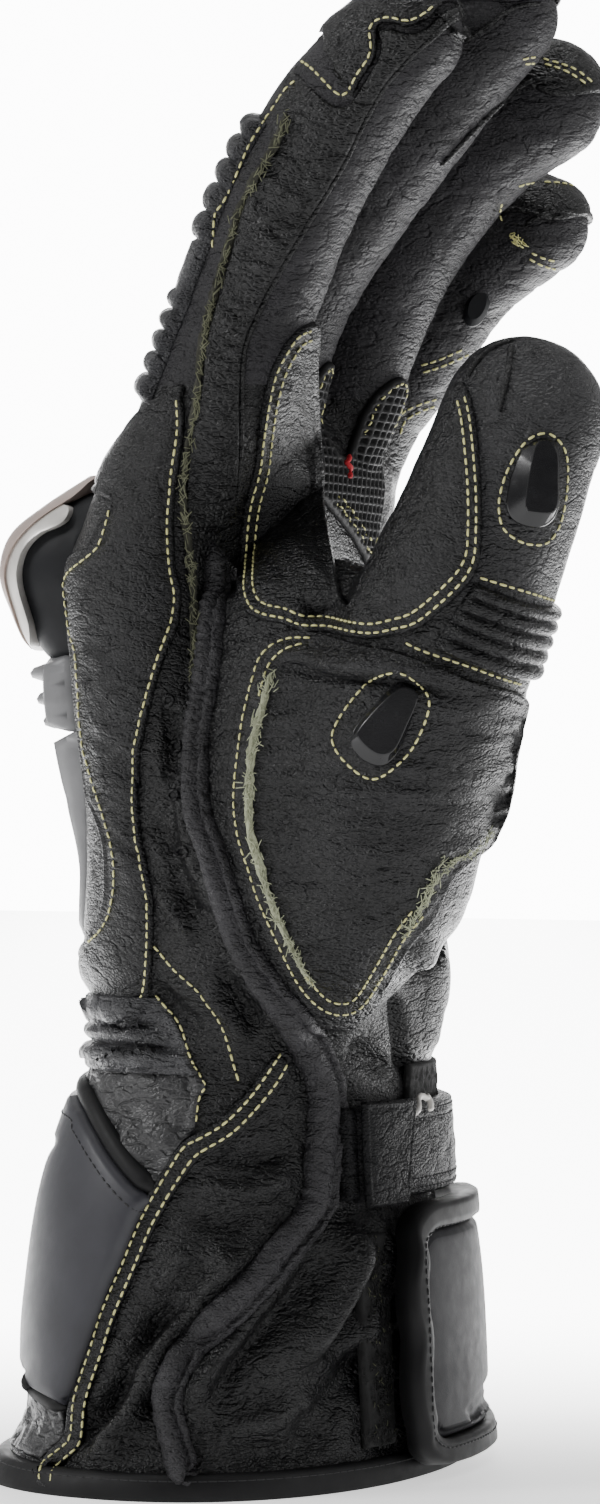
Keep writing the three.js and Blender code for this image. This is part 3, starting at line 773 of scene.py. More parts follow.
class Surface:
    """A surface that rays can be cast on, which grows as pieces are laid on it."""

    GRAZING = 0.02
    CLEARANCE = 0.6

    def __init__(self, space: Space) -> None:
        """Starts with nothing, in a space."""
        self.space = space
        self.points = np.zeros((0, 3))
        self.normals = np.zeros((0, 3))
        self.faces: Faces = []
        self.tree: BVHTree | None = None

    def add(self, points: Array, faces: Faces) -> None:
        """Lays more faces on the surface.

        Args:
            points: Their corners.
            faces: Their corner numbers.
        """
        points = np.asarray(points, float)
        normals = np.zeros((len(points), 3))
        for size in {len(face) for face in faces}:
            chosen = np.array([face for face in faces if len(face) == size])
            corners = points[chosen]
            across = np.cross(corners[:, 1] - corners[:, 0], corners[:, 2] - corners[:, 0])
            if size > 3:
                across = np.cross(corners[:, 2] - corners[:, 0], corners[:, 3] - corners[:, 1])
            for k in range(size):
                np.add.at(normals, chosen[:, k], across)
        start = len(self.points)
        self.points = np.vstack([self.points, points])
        self.normals = np.vstack([self.normals, unit(normals)])
        self.faces += [tuple(start + int(v) for v in face) for face in faces]
        self.tree = None

    def copy(self) -> "Surface":
        """A second surface that starts with this one's faces."""
        twin = Surface(self.space)
        twin.points, twin.normals, twin.faces = self.points.copy(), self.normals.copy(), list(self.faces)
        return twin

    def ready(self) -> BVHTree:
        """The surface's search tree, built again when the surface has grown."""
        if self.tree is None:
            self.tree = BVHTree.FromPolygons([tuple(p) for p in self.points], self.faces)
        return self.tree

    def first_hit(self, start: Array, way: Array, reach: float = 1e6) -> Vector | None:
        """Where a ray first meets the surface, if it does."""
        return self.ready().ray_cast(Vector(start), Vector(way), reach)[0]

    def lay(self, chart: Chart, places: Array) -> tuple[Array, Array]:
        """Lays chart places on the surface.

        Args:
            chart: The chart.
            places: N chart places.

        Returns:
            The points and the outward normals; a ray that misses takes the surface's nearest point.
        """
        tree = self.ready()
        places = np.asarray(places, float)
        starts, directions = chart.rays(places)
        points = np.zeros((len(starts), 3))
        face = np.zeros(len(starts), int)
        missed = []
        for k, (start, direction) in enumerate(zip(starts, directions)):
            hit, _, index, _ = tree.ray_cast(Vector(start), Vector(direction))
            if hit is None:
                missed.append(k)
            else:
                points[k], face[k] = hit, index
        good = np.setdiff1d(np.arange(len(starts)), missed)
        for k in missed:
            close = good[np.argmin(np.linalg.norm(places[good] - places[k], axis=1))]
            depth = (points[close] - starts[k]) @ directions[k]
            hit, _, index, _ = tree.find_nearest(Vector(starts[k] + directions[k] * depth))
            points[k], face[k] = hit, index
        normals = np.zeros((len(starts), 3))
        for k, index in enumerate(face):
            corners = list(self.faces[index])
            weight = 1 / (np.sum((self.points[corners] - points[k]) ** 2, axis=1) + 0.02)
            normals[k] = weight @ self.normals[corners]
        return points, unit(normals)

    def seen(self, points: Array, normals: Array) -> Array:
        """Which points the photograph shows.

        Args:
            points: N points on the surface.
            normals: Their outward normals.

        Returns:
            A flag for each.
        """
        toward = unit(VIEW.eye - points)
        shown = np.einsum("ij,ij->i", toward, normals) > self.GRAZING
        for k in np.flatnonzero(shown):
            start = points[k] + normals[k] * self.CLEARANCE
            shown[k] = self.first_hit(start, toward[k], VIEW.distance - 100) is None
        return shown


@dataclass(frozen=True)
class Fold:
    """A soft ridge or valley drawn on the photograph: its line in pixels, half width and height in mm."""

    line: Line
    width: float
    height: float
    fade: float = 0.25


def fold_heights(pixels: Array, folds: Sequence[Fold]) -> Array:
    """The summed height of some folds at points of the picture.

    Args:
        pixels: N places in the photograph.
        folds: The folds.

    Returns:
        N heights in millimetres.
    """
    total = np.zeros(len(pixels))
    for fold in folds:
        line = smooth_line(fold.line, 8.0) * PIXEL
        reach = fold.width * 2.6
        flat = pixels * PIXEL
        near = np.all((flat > line.min(0) - reach) & (flat < line.max(0) + reach), axis=1)
        if not near.any():
            continue
        distance, share, _ = line_distance(flat[near], line)
        ends = np.minimum(share, 1 - share)
        fade = smoothstep(0, fold.fade, ends) if fold.fade else np.ones(len(ends))
        total[near] += fold.height * np.exp(-((distance / fold.width) ** 2)) * fade
    return total


FOLDS = (
    Fold(((300, 610), (320, 612), (350, 608)), 1.6, -2.2),
    Fold(((260, 640), (300, 660), (360, 668), (420, 672), (480, 690)), 1.5, 0.9),
    Fold(((270, 655), (330, 676), (400, 682), (470, 698)), 1.2, -0.9),
    Fold(((338, 1212), (300, 1262), (262, 1316), (222, 1360), (196, 1392), (190, 1440)), 2.6, 2.2),
    Fold(((350, 1206), (346, 1240), (330, 1290), (306, 1340), (286, 1376)), 3.2, 2.6),
    Fold(((368, 1208), (364, 1250), (346, 1306), (318, 1362)), 2.2, -2.2),
    Fold(((384, 1208), (382, 1262), (372, 1316), (352, 1366)), 2.4, 1.8),
    Fold(((376, 1262), (380, 1320), (384, 1390), (382, 1470)), 1.8, -1.6),
    Fold(((322, 1232), (292, 1282), (258, 1330), (226, 1372), (214, 1410)), 2.0, -2.2),
    Fold(((216, 1284), (176, 1312), (152, 1334), (126, 1378), (98, 1420), (74, 1450)), 2.0, -2.2),
    Fold(((270, 1238), (236, 1262), (200, 1292), (170, 1326), (144, 1360), (112, 1408)), 2.2, 2.0),
    Fold(((190, 1336), (166, 1366), (140, 1402), (110, 1442), (84, 1466)), 2.4, 2.0),
    Fold(((216, 1320), (180, 1350), (156, 1388), (140, 1430)), 2.2, -1.6),
    Fold(((356, 1216), (338, 1262), (312, 1312), (282, 1356), (250, 1392)), 4.6, 1.8),
    Fold(((330, 1390), (300, 1410), (250, 1424), (210, 1430)), 3.0, 1.0),
    Fold(((362, 1330), (352, 1376), (322, 1412), (280, 1436)), 3.0, -1.4),
    Fold(((228, 1250), (190, 1286), (158, 1320), (132, 1366)), 3.4, -1.0),
    Fold(((350, 1418), (300, 1446), (240, 1456), (205, 1460)), 2.6, -1.0),
    Fold(((205, 1150), (240, 1160), (275, 1156), (300, 1150)), 1.4, -1.0),
    Fold(((196, 1180), (232, 1192), (270, 1186), (300, 1170)), 1.8, 0.9),
    Fold(((180, 1214), (220, 1226), (262, 1216)), 1.6, -0.9),
    Fold(((160, 1254), (200, 1262), (240, 1248)), 2.0, 1.0),
    Fold(((150, 980), (176, 1010), (206, 1036)), 1.6, -0.9),
    Fold(((200, 985), (226, 1012), (250, 1050)), 1.8, 1.0),
    Fold(((216, 960), (240, 1000), (262, 1036)), 1.4, -0.9),
    Fold(((394, 986), (398, 1020), (402, 1058), (412, 1076)), 1.1, -1.4),
    Fold(((424, 930), (432, 980), (428, 1030), (420, 1070)), 3.0, 1.4),
    Fold(((350, 1040), (372, 1060), (396, 1072)), 1.8, -1.0),
    Fold(((165, 690), (172, 740), (170, 790), (176, 840)), 1.5, -0.8),
    Fold(((156, 760), (180, 812), (196, 866), (214, 900)), 1.4, 0.8),
    Fold(((150, 800), (168, 850), (188, 900), (206, 930)), 1.2, -0.8),
    Fold(((156, 880), (172, 910), (196, 946)), 1.3, 0.8),
)


class Nodes:
    """Short calls that wire a node tree."""

    def __init__(self, owner: bpy.types.Material | bpy.types.World, places: str = "Object") -> None:
        """Starts on the tree of a new material or world.

        Args:
            owner: The material or world.
            places: Which texture coordinates its patterns follow.
        """
        owner.use_nodes = True
        self.owner = owner
        self.tree = owner.node_tree
        self.place = self.tree.nodes.new("ShaderNodeTexCoord").outputs[places]

    @classmethod
    def material(cls, name: str) -> "Nodes":
        """The tree of a new material."""
        return cls(bpy.data.materials.new(name))

    def fill(self, node: bpy.types.Node, values: dict[str | int, object]) -> None:
        """Sets a node's inputs, a value or a socket each, by name or number."""
        for key, value in values.items():
            if isinstance(value, Socket):
                self.tree.links.new(value, node.inputs[key])
            else:
                node.inputs[key].default_value = value

    def add(self, kind: str, inputs: dict[str | int, object], **settings: object) -> bpy.types.Node:
        """Adds a node.

        Args:
            kind: The node's type without its prefix.
            inputs: Values or sockets for its inputs, by name or number.
            settings: Its settings.

        Returns:
            The node.
        """
        node = self.tree.nodes.new("ShaderNode" + kind)
        for key, value in settings.items():
            setattr(node, key, value)
        self.fill(node, inputs)
        return node

    def shade(self, shader: str = "Principled BSDF", **values: object) -> None:
        """Sets a shader's inputs, a value or a socket each, by name with _ for a space."""
        self.fill(self.tree.nodes[shader], {key.replace("_", " "): value for key, value in values.items()})

    def math(self, operation: str, *values: Socket | float) -> Socket:
        """The result of a mathematical operation on sockets or numbers."""
        return self.add("Math", dict(enumerate(values)), operation=operation).outputs["Value"]

    def fade(self, value: Socket, low: float, high: float, to: Point = (0.0, 1.0)) -> Socket:
        """A value's range turned smoothly into another."""
        inputs = {"Value": value, "From Min": low, "From Max": high, "To Min": to[0], "To Max": to[1]}
        return self.add("MapRange", inputs, interpolation_type="SMOOTHSTEP").outputs["Result"]

    def along(self, way: Array) -> Socket:
        """How far a place lies along a direction."""
        inputs = {0: self.place, 1: tuple(way)}
        return self.add("VectorMath", inputs, operation="DOT_PRODUCT").outputs["Value"]

    def mapped(self, size: float, stretch: Triple = (1, 1, 1)) -> Socket:
        """Object places in cells of a size in millimetres, longer along an axis with a larger stretch."""
        scale = tuple(1 / (size * MM * s) for s in stretch)
        return self.add("Mapping", {"Vector": self.place, "Scale": scale}).outputs["Vector"]

    def noise(self, size: float, detail: float = 3.0, rough: float = 0.55,
              stretch: Triple = (1, 1, 1)) -> Socket:
        """Noise with features of a size in millimetres."""
        return self.add("TexNoise", {"Vector": self.mapped(size, stretch), "Scale": 1.0, "Detail": detail,
                                     "Roughness": rough}).outputs["Fac"]

    def creases(self, size: float, width: float) -> Socket:
        """Narrow valleys that meander across a flat level, about a size in millimetres apart.

        Args:
            size: The spacing.
            width: A valley's half width, as a share of the noise's range.

        Returns:
            The height, 0 in a valley and 1 beside it.
        """
        middle = self.math("SUBTRACT", self.noise(size, 2.0, 0.55, (1.5, 1.5, 0.8)), 0.5)
        away = self.math("ABSOLUTE", middle)
        return self.fade(away, 0.0, width)

    def pebbles(self, size: float, stretch: Triple = (1, 1, 1)) -> Socket:
        """Raised cells of a size in millimetres with narrow valleys between them."""
        cells = self.add("TexVoronoi", {"Vector": self.mapped(size, stretch), "Scale": 1.0},
                         feature="DISTANCE_TO_EDGE")
        return self.ramp(cells.outputs["Distance"], 0.0, 0.3)

    def ramp(self, value: Socket, low: float, high: float, to: Point = (0.0, 1.0)) -> Socket:
        """A value's range stretched evenly to another."""
        return self.add("MapRange", {0: value, 1: low, 2: high, 3: to[0], 4: to[1]}).outputs[0]

    def mix(self, amount: Socket, first: tuple, second: tuple) -> Socket:
        """Two colours mixed by an amount."""
        return self.add("Mix", {0: amount, 6: (*first, 1), 7: (*second, 1)}, data_type="RGBA").outputs[2]

    def bump(self, *layers: tuple[Socket, float, float]) -> Socket:
        """Stacked bumps.

        Args:
            layers: Height socket, strength and depth in millimetres of each.

        Returns:
            The normal.
        """
        normal = None
        for height, strength, depth in layers:
            inputs = {"Height": height, "Strength": strength, "Distance": depth * MM}
            if normal is not None:
                inputs["Normal"] = normal
            normal = self.add("Bump", inputs).outputs["Normal"]
        return normal


@dataclass(frozen=True)
class Leather:
    """A leather: grain cells, fine creases and worn, uneven colour.

    Attributes:
        name: The material's name.
        dark: The colour of its darker patches.
        light: The colour of its lighter patches.
        rough: The roughness of its smooth and dull patches.
        specular: How strongly it mirrors.
        grain: The size of its grain cells in millimetres.
        grain_depth: Their depth in millimetres.
        crease: The size of its fine creases.
        crease_depth: Their depth.
        stretch: How much longer the creases run along each axis.
        line: The spacing of its narrow wrinkles.
        line_depth: Their depth.
    """

    name: str
    dark: Triple = (0.003, 0.003, 0.0034)
    light: Triple = (0.009, 0.009, 0.0098)
    rough: tuple[float, float] = (0.27, 0.38)
    specular: float = 0.32
    grain: float = 0.85
    grain_depth: float = 0.17
    crease: float = 2.0
    crease_depth: float = 0.85
    stretch: Triple = (2.2, 2.2, 0.5)
    line: float = 5.5
    line_depth: float = 0.3

    def material(self) -> bpy.types.Material:
        """Builds the leather's material."""
        nodes = Nodes.material(self.name)
        patches = nodes.noise(14.0, 4.0)
        grain = nodes.pebbles(self.grain, (1.25, 1.25, 0.85))
        fine = nodes.noise(self.grain * 0.4, 2.0)
        crease = nodes.noise(self.crease, 5.0, 0.62, self.stretch)
        lines = nodes.creases(self.line, 0.06)
        nodes.shade(
            Base_Color=nodes.mix(nodes.ramp(patches, 0.35, 0.68), self.dark, self.light),
            Roughness=nodes.ramp(nodes.noise(5.0, 4.0), 0.3, 0.7, self.rough),
            Specular_IOR_Level=self.specular,
            Normal=nodes.bump((lines, 1.0, self.line_depth), (crease, 0.85, self.crease_depth),
                              (grain, 0.9, self.grain_depth), (fine, 0.5, self.grain_depth * 0.25)),
        )
        return nodes.owner


@dataclass(frozen=True)
class Moulded:
    """A moulded rubber or plastic: one colour with faint mottling and a fine surface.

    Attributes:
        name: The material's name.
        colour: Its colour.
        rough: The roughness of its smooth and dull patches.
        texture: The size of its surface texture in millimetres.
        depth: The texture's depth.
        metal: How metallic it is.
        coat: The weight of a clear coat.
        specular: How strongly it mirrors.
    """

    name: str
    colour: Triple
    rough: tuple[float, float]
    texture: float = 0.35
    depth: float = 0.03
    metal: float = 0.0
    coat: float = 0.0
    specular: float = 0.4

    def material(self) -> bpy.types.Material:
        """Builds the material."""
        nodes = Nodes.material(self.name)
        dark = tuple(c * 0.82 for c in self.colour)
        light = tuple(min(c * 1.12, 1.0) for c in self.colour)
        nodes.shade(
            Base_Color=nodes.mix(nodes.ramp(nodes.noise(9.0, 4.0), 0.3, 0.7), dark, light),
            Roughness=nodes.ramp(nodes.noise(3.0, 5.0), 0.3, 0.7, self.rough),
            Metallic=self.metal,
            Specular_IOR_Level=self.specular,
            Coat_Weight=self.coat,
            Coat_Roughness=0.08,
            Normal=nodes.bump((nodes.noise(self.texture, 3.0), 0.5, self.depth)),
        )
        return nodes.owner


class Finish(Enum):
    """Every finish of the glove, built when it is first used."""

    LEATHER = Leather("grained_leather")
    SOFT = Leather("soft_leather", dark=(0.014, 0.0135, 0.015), light=(0.026, 0.025, 0.028),
                   rough=(0.4, 0.52), specular=0.28, grain=0.9, grain_depth=0.16, crease_depth=0.95,
                   stretch=(2.4, 2.4, 0.46))
    RIBS = Leather("rib_leather", dark=(0.016, 0.016, 0.018), light=(0.034, 0.034, 0.037), specular=0.3)
    THUMB = Leather("thumb_leather", dark=(0.01, 0.01, 0.011), light=(0.02, 0.02, 0.0215))
    CUFF = Leather("cuff_leather", dark=(0.0022, 0.0022, 0.0025), light=(0.0065, 0.0065, 0.007),
                   specular=0.33, grain_depth=0.16, crease_depth=0.8)
    STRAP = Leather("strap_leather", rough=(0.45, 0.6), specular=0.14, crease_depth=0.5)
    ROLL = Leather("roll_leather", dark=(0.018, 0.0175, 0.019), light=(0.031, 0.03, 0.033), rough=(0.4, 0.52),
                   specular=0.28, crease_depth=0.7)
    SHINY = Leather("coated_leather", dark=(0.002, 0.002, 0.0022), light=(0.007, 0.007, 0.0075),
                    rough=(0.28, 0.4), specular=0.34, grain=0.9, grain_depth=0.16, crease_depth=0.6,
                    stretch=(2.0, 2.0, 0.55))
    WRIST = Leather("coated_wrist", dark=(0.018, 0.018, 0.019), light=(0.035, 0.035, 0.036),
                    rough=(0.3, 0.42), specular=0.42, grain=0.8, grain_depth=0.06, crease=5.0,
                    crease_depth=0.5)
    PLEATS = Leather("coated_pleats", dark=(0.02, 0.02, 0.022), light=(0.06, 0.06, 0.064), rough=(0.34, 0.46),
                     specular=0.4, grain=0.7, grain_depth=0.14, crease=3.0, crease_depth=0.3)
    FLAP = Moulded("coated_flap", (0.012, 0.012, 0.014), (0.5, 0.6), 0.3, 0.06, specular=0.18)
    TITANIUM = Moulded("satin_titanium", (0.6, 0.58, 0.55), (0.3, 0.42), 0.2, 0.01, 0.3)
    TITANIUM_DARK = Moulded("rim_titanium", (0.46, 0.37, 0.33), (0.3, 0.42), 0.2, 0.01, 0.3)
    GREY_RUBBER = Moulded("grey_rubber", (0.2, 0.2, 0.205), (0.34, 0.46))
    DARK_PLASTIC = Moulded("dark_plastic", (0.008, 0.0085, 0.01), (0.5, 0.6), specular=0.2)
    GLOSS = Moulded("gloss_slider", (0.005, 0.005, 0.006), (0.2, 0.28), coat=0.15, specular=0.35)
    COATED = Moulded("coated_shell", (0.026, 0.026, 0.032), (0.42, 0.5), 0.3, 0.05)
    RUBBER = Moulded("black_rubber", (0.007, 0.007, 0.0075), (0.5, 0.62), 0.4, 0.04, specular=0.22)
    FUZZ = Moulded("hook_pile", (0.01, 0.01, 0.01), (0.85, 0.95), 0.5, 0.3)
    THREAD = Moulded("yellow_thread", (0.62, 0.6, 0.27), (0.6, 0.75), 0.15, 0.05)
    BLACK_THREAD = Moulded("black_thread", (0.012, 0.012, 0.013), (0.5, 0.65), 0.15, 0.05)
    RED_THREAD = Moulded("red_thread", (0.5, 0.02, 0.03), (0.6, 0.8), 0.2, 0.1)
    RAW = Moulded("raw_leather_edge", (0.03, 0.03, 0.022), (0.8, 0.95), 0.5, 0.4)
    OLIVE = Moulded("olive_fibres", (0.13, 0.135, 0.085), (0.85, 0.98), 0.4, 0.3)
    FIBRE = Moulded("raw_fibres", (0.36, 0.38, 0.26), (0.85, 0.98), 0.4, 0.5)

    def material(self) -> bpy.types.Material:
        """The finish's material."""
        return bpy.data.materials.get(self.value.name) or self.value.material()


@dataclass
class Skin:
    """The glove's leather wall, made as one form and cut into the real pieces.

    Attributes:
        space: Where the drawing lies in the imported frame.
        voxel: The spacing of the skin's mesh.
        soften: How often the joined form is smoothed.
        wall: The leather's thickness.
        split: The height of the seam between hand and cuff.
        root: The height of the seams between hand and fingers.
        fold_gain: How much deeper the folds are worked than drawn.
        thumb_seam: x and height of a point on the thumb's seam, and its lean in degrees.
        thumb_room: The thumb's least x, greatest y and greatest height beyond that seam.
        whole: The skin before it is cut.
    """

    space: Space
    voxel: float = 1.2
    soften: int = 6
    wall: float = 1.6
    split: float = 90.0
    root: float = 218.0
    fold_gain: float = 2.2
    thumb_seam: Triple = (50.0, 178.0, 18.0)
    thumb_room: Triple = (34.0, -14.0, 228.0)
    whole: Piece | None = field(default=None, init=False)

    def build(self) -> None:
        """Joins the tubes and remeshes them to one even skin."""
        parts = [BODY.solid("skin_form"), WEB.solid("web_form")]
        parts += [tube.solid(f"{name}_form") for name, tube in DIGITS.items()]
        deselect()
        for part in parts:
            part.select_set(True)
        bpy.context.view_layer.objects.active = parts[0]
        bpy.ops.object.join()
        self.whole = parts[0]
        add_modifier(self.whole, "REMESH", mode="VOXEL", voxel_size=self.voxel)
        add_modifier(self.whole, "SMOOTH", factor=0.5, iterations=self.soften)
        self.whole.data.shade_smooth()

    def surface(self) -> Surface:
        """The skin as a surface for laying things on."""
        ground = Surface(self.space)
        ground.add(mesh_points(self.whole), [tuple(face.vertices) for face in self.whole.data.polygons])
        return ground

    def wrinkle(self, folds: Sequence[Fold]) -> None:
        """Works the folds and the leather's unevenness into the skin.

        Args:
            folds: The folds that the photograph shows.
        """
        points, normals = mesh_points(self.whole), mesh_normals(self.whole)
        shown = self.surface().seen(points, normals)
        height = np.zeros(len(points))
        height[shown] = self.fold_gain * fold_heights(VIEW.project(points[shown]), folds)
        facing = np.einsum("ij,ij->i", unit(VIEW.eye - points), normals)
        height *= smoothstep(0.02, 0.25, facing)
        waves, (x, y, z) = Noise(3), points.T
        height += 0.25 * waves.at(points / (12, 12, 9)) + 0.07 * waves.at(points / 3.6 + 40)
        height += 0.22 * Noise(5).ridges(points / (16, 16, 7))
        cuff = 1 - smoothstep(70, 100, z)
        height += cuff * 0.5 * waves.at(points / (15, 15, 22) + 9)
        stretch_side = smoothstep(108, 116, z) * (1 - smoothstep(166, 178, z))
        stretch_side *= (1 - smoothstep(0, 10, x)) * smoothstep(-28, -20, x) * (y < 0)
        tilted = np.column_stack([x / 14, y / 14, (z + 0.55 * x) / 2.6])
        height += stretch_side * (0.45 * Noise(14).ridges(tilted) + 0.25 * Noise(15).at(tilted))
        slanted = np.column_stack([x + 0.5 * z, y, z - 0.4 * y])
        gathers = 0.5 * Noise(9).ridges(slanted / (14, 14, 7)) + 0.3 * Noise(10).ridges(slanted / 4.5)
        height += cuff * gathers
        finger = smoothstep(214, 226, z)
        height += finger * 0.3 * Noise(12).ridges(points / (9, 9, 3.2))
        height *= smoothstep(0.5, 4, z)
        set_points(self.whole, points + normals * height[:, None])

    def side_of(self, middles: Array) -> Array:
        """Which piece each face belongs to.

        Args:
            middles: Face middles.

        Returns:
            Piece numbers: 0 hand, 1 cuff, 2 thumb, 3 to 6 the fingers.
        """
        x, z, lean = self.thumb_seam
        beyond = (middles - (x, 0, z)) @ leaning(lean) > 0
        number = np.zeros(len(middles), int)
        number[middles[:, 2] < self.split] = 1
        least_x, most_y, highest = self.thumb_room
        in_room = (middles[:, 0] > least_x) & (middles[:, 1] < most_y) & (middles[:, 2] < highest)
        number[beyond & in_room] = 2
        centres = [tube.rows[1, 1] for name, tube in DIGITS.items() if name != "thumb"]
        finger = np.argmin(np.abs(middles[:, 1:2] - np.array(centres)), axis=1)
        high = (middles[:, 2] > self.root) & (number == 0)
        number[high] = finger[high] + 3
        return number

    def pieces(self) -> None:
        """Cuts the skin into its pieces and gives each a wall."""
        pick(self.whole)
        x, z, lean = self.thumb_seam
        planes = [((0, 0, self.split), (0, 0, 1)), ((0, 0, self.root), (0, 0, 1)), ((x, 0, z), leaning(lean))]
        bpy.ops.object.mode_set(mode="EDIT")
        for middle, normal in planes:
            bpy.ops.mesh.select_all(action="SELECT")
            bpy.ops.mesh.bisect(plane_co=middle, plane_no=normal)
        bpy.ops.mesh.select_all(action="DESELECT")
        bpy.ops.object.mode_set(mode="OBJECT")
        points, normals = mesh_points(self.whole), mesh_normals(self.whole)
        faces = [tuple(face.vertices) for face in self.whole.data.polygons]
        middles = np.array([points[list(face)].mean(0) for face in faces])
        number = self.side_of(middles)
        floor = middles[:, 2] < 0.05
        dressed = [("hand_leather", "hand_shell", Finish.CUFF, Slot.LEATHER),
                   ("cuff_leather", "cuff_shell", Finish.CUFF, Slot.LEATHER),
                   ("thumb_leather", "thumb", Finish.THUMB, Slot.LEATHER)]
        dressed += [(f"{name}_leather", f"{name}_finger", Finish.SOFT, Slot.SOFT)
                    for name in DIGITS if name != "thumb"]
        for k, (name, node, finish, slot) in enumerate(dressed):
            chosen = [faces[i] for i in np.flatnonzero((number == k) & ~floor)]
            used = np.unique(np.concatenate([np.array(face) for face in chosen]))
            renumber = {old: new for new, old in enumerate(used)}
            piece = make_object(name, self.space.metres(points[used]),
                                [[renumber[v] for v in f] for f in chosen])
            add_modifier(piece, "SOLIDIFY", thickness=self.wall * MM, offset=-1, use_rim=True)
            outer = normals[used]
            all_normals = mesh_normals(piece)
            all_normals[:len(outer)] = outer
            piece.data.normals_split_custom_set_from_vertices([tuple(n) for n in all_normals])
            dress(piece, finish, slot, node)
        bpy.data.objects.remove(self.whole)


def dress(piece: Piece, finish: Finish, slot: Slot | None = None, *nodes: str) -> None:
    """Gives a finished piece its material and its body, and hides the CAD parts that it stands for.

    Args:
        piece: The piece, in packed metres.
        finish: Its finish.
        slot: The record's slot of its finish; not used.
        nodes: The CAD nodes that it stands for.
    """
    piece.data.materials.clear()
    piece.data.materials.append(finish.material())
    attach(piece, ROOT)
    if nodes:
        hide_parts(*nodes)
    LOG.info("%s: %d faces", piece.name, len(piece.data.polygons))


Relief = Callable[[Array, Array], Array]


@dataclass(frozen=True)
class Grain:
    """A relief of noise: the height, seed and cell size in millimetres of each layer.

    Attributes:
        layers: Soft layers.
        valleys: Layers of thin, branching valleys.
    """

    layers: tuple[tuple[float, int, Triple], ...]
    valleys: tuple[tuple[float, int, Triple], ...] = ()

    def __call__(self, _places: Array, points: Array) -> Array:
        """The relief's heights at points of the ground."""
        total = np.zeros(len(points))
        for height, seed, size in self.layers:
            total += height * Noise(seed).at(points / size)
        for height, seed, size in self.valleys:
            total += height * Noise(seed).ridges(points / size)
        return total


THENAR_CREASES = Grain(((0.5, 31, (12, 12, 2.2)), (0.3, 32, (12 / 2.3, 12 / 2.3, 2.2 / 2.3))))
BACK_CREASES = Grain(((0.15, 41, (5, 5, 2.4)), (0.1, 42, (2, 2, 1.2))))
TIP_CREASES = Grain(((0.22, 51, (1.9, 1.9, 1.9)), (0.15, 52, (4, 4, 4))))
CRUMPLES = Grain(((0.6, 61, (9, 9, 4)), (0.3, 62, (9 / 2.3, 9 / 2.3, 4 / 2.3))), ((0.8, 63, (9, 9, 4)),))
PILE = Grain(((0.4, 71, (0.8, 0.8, 0.8)),))


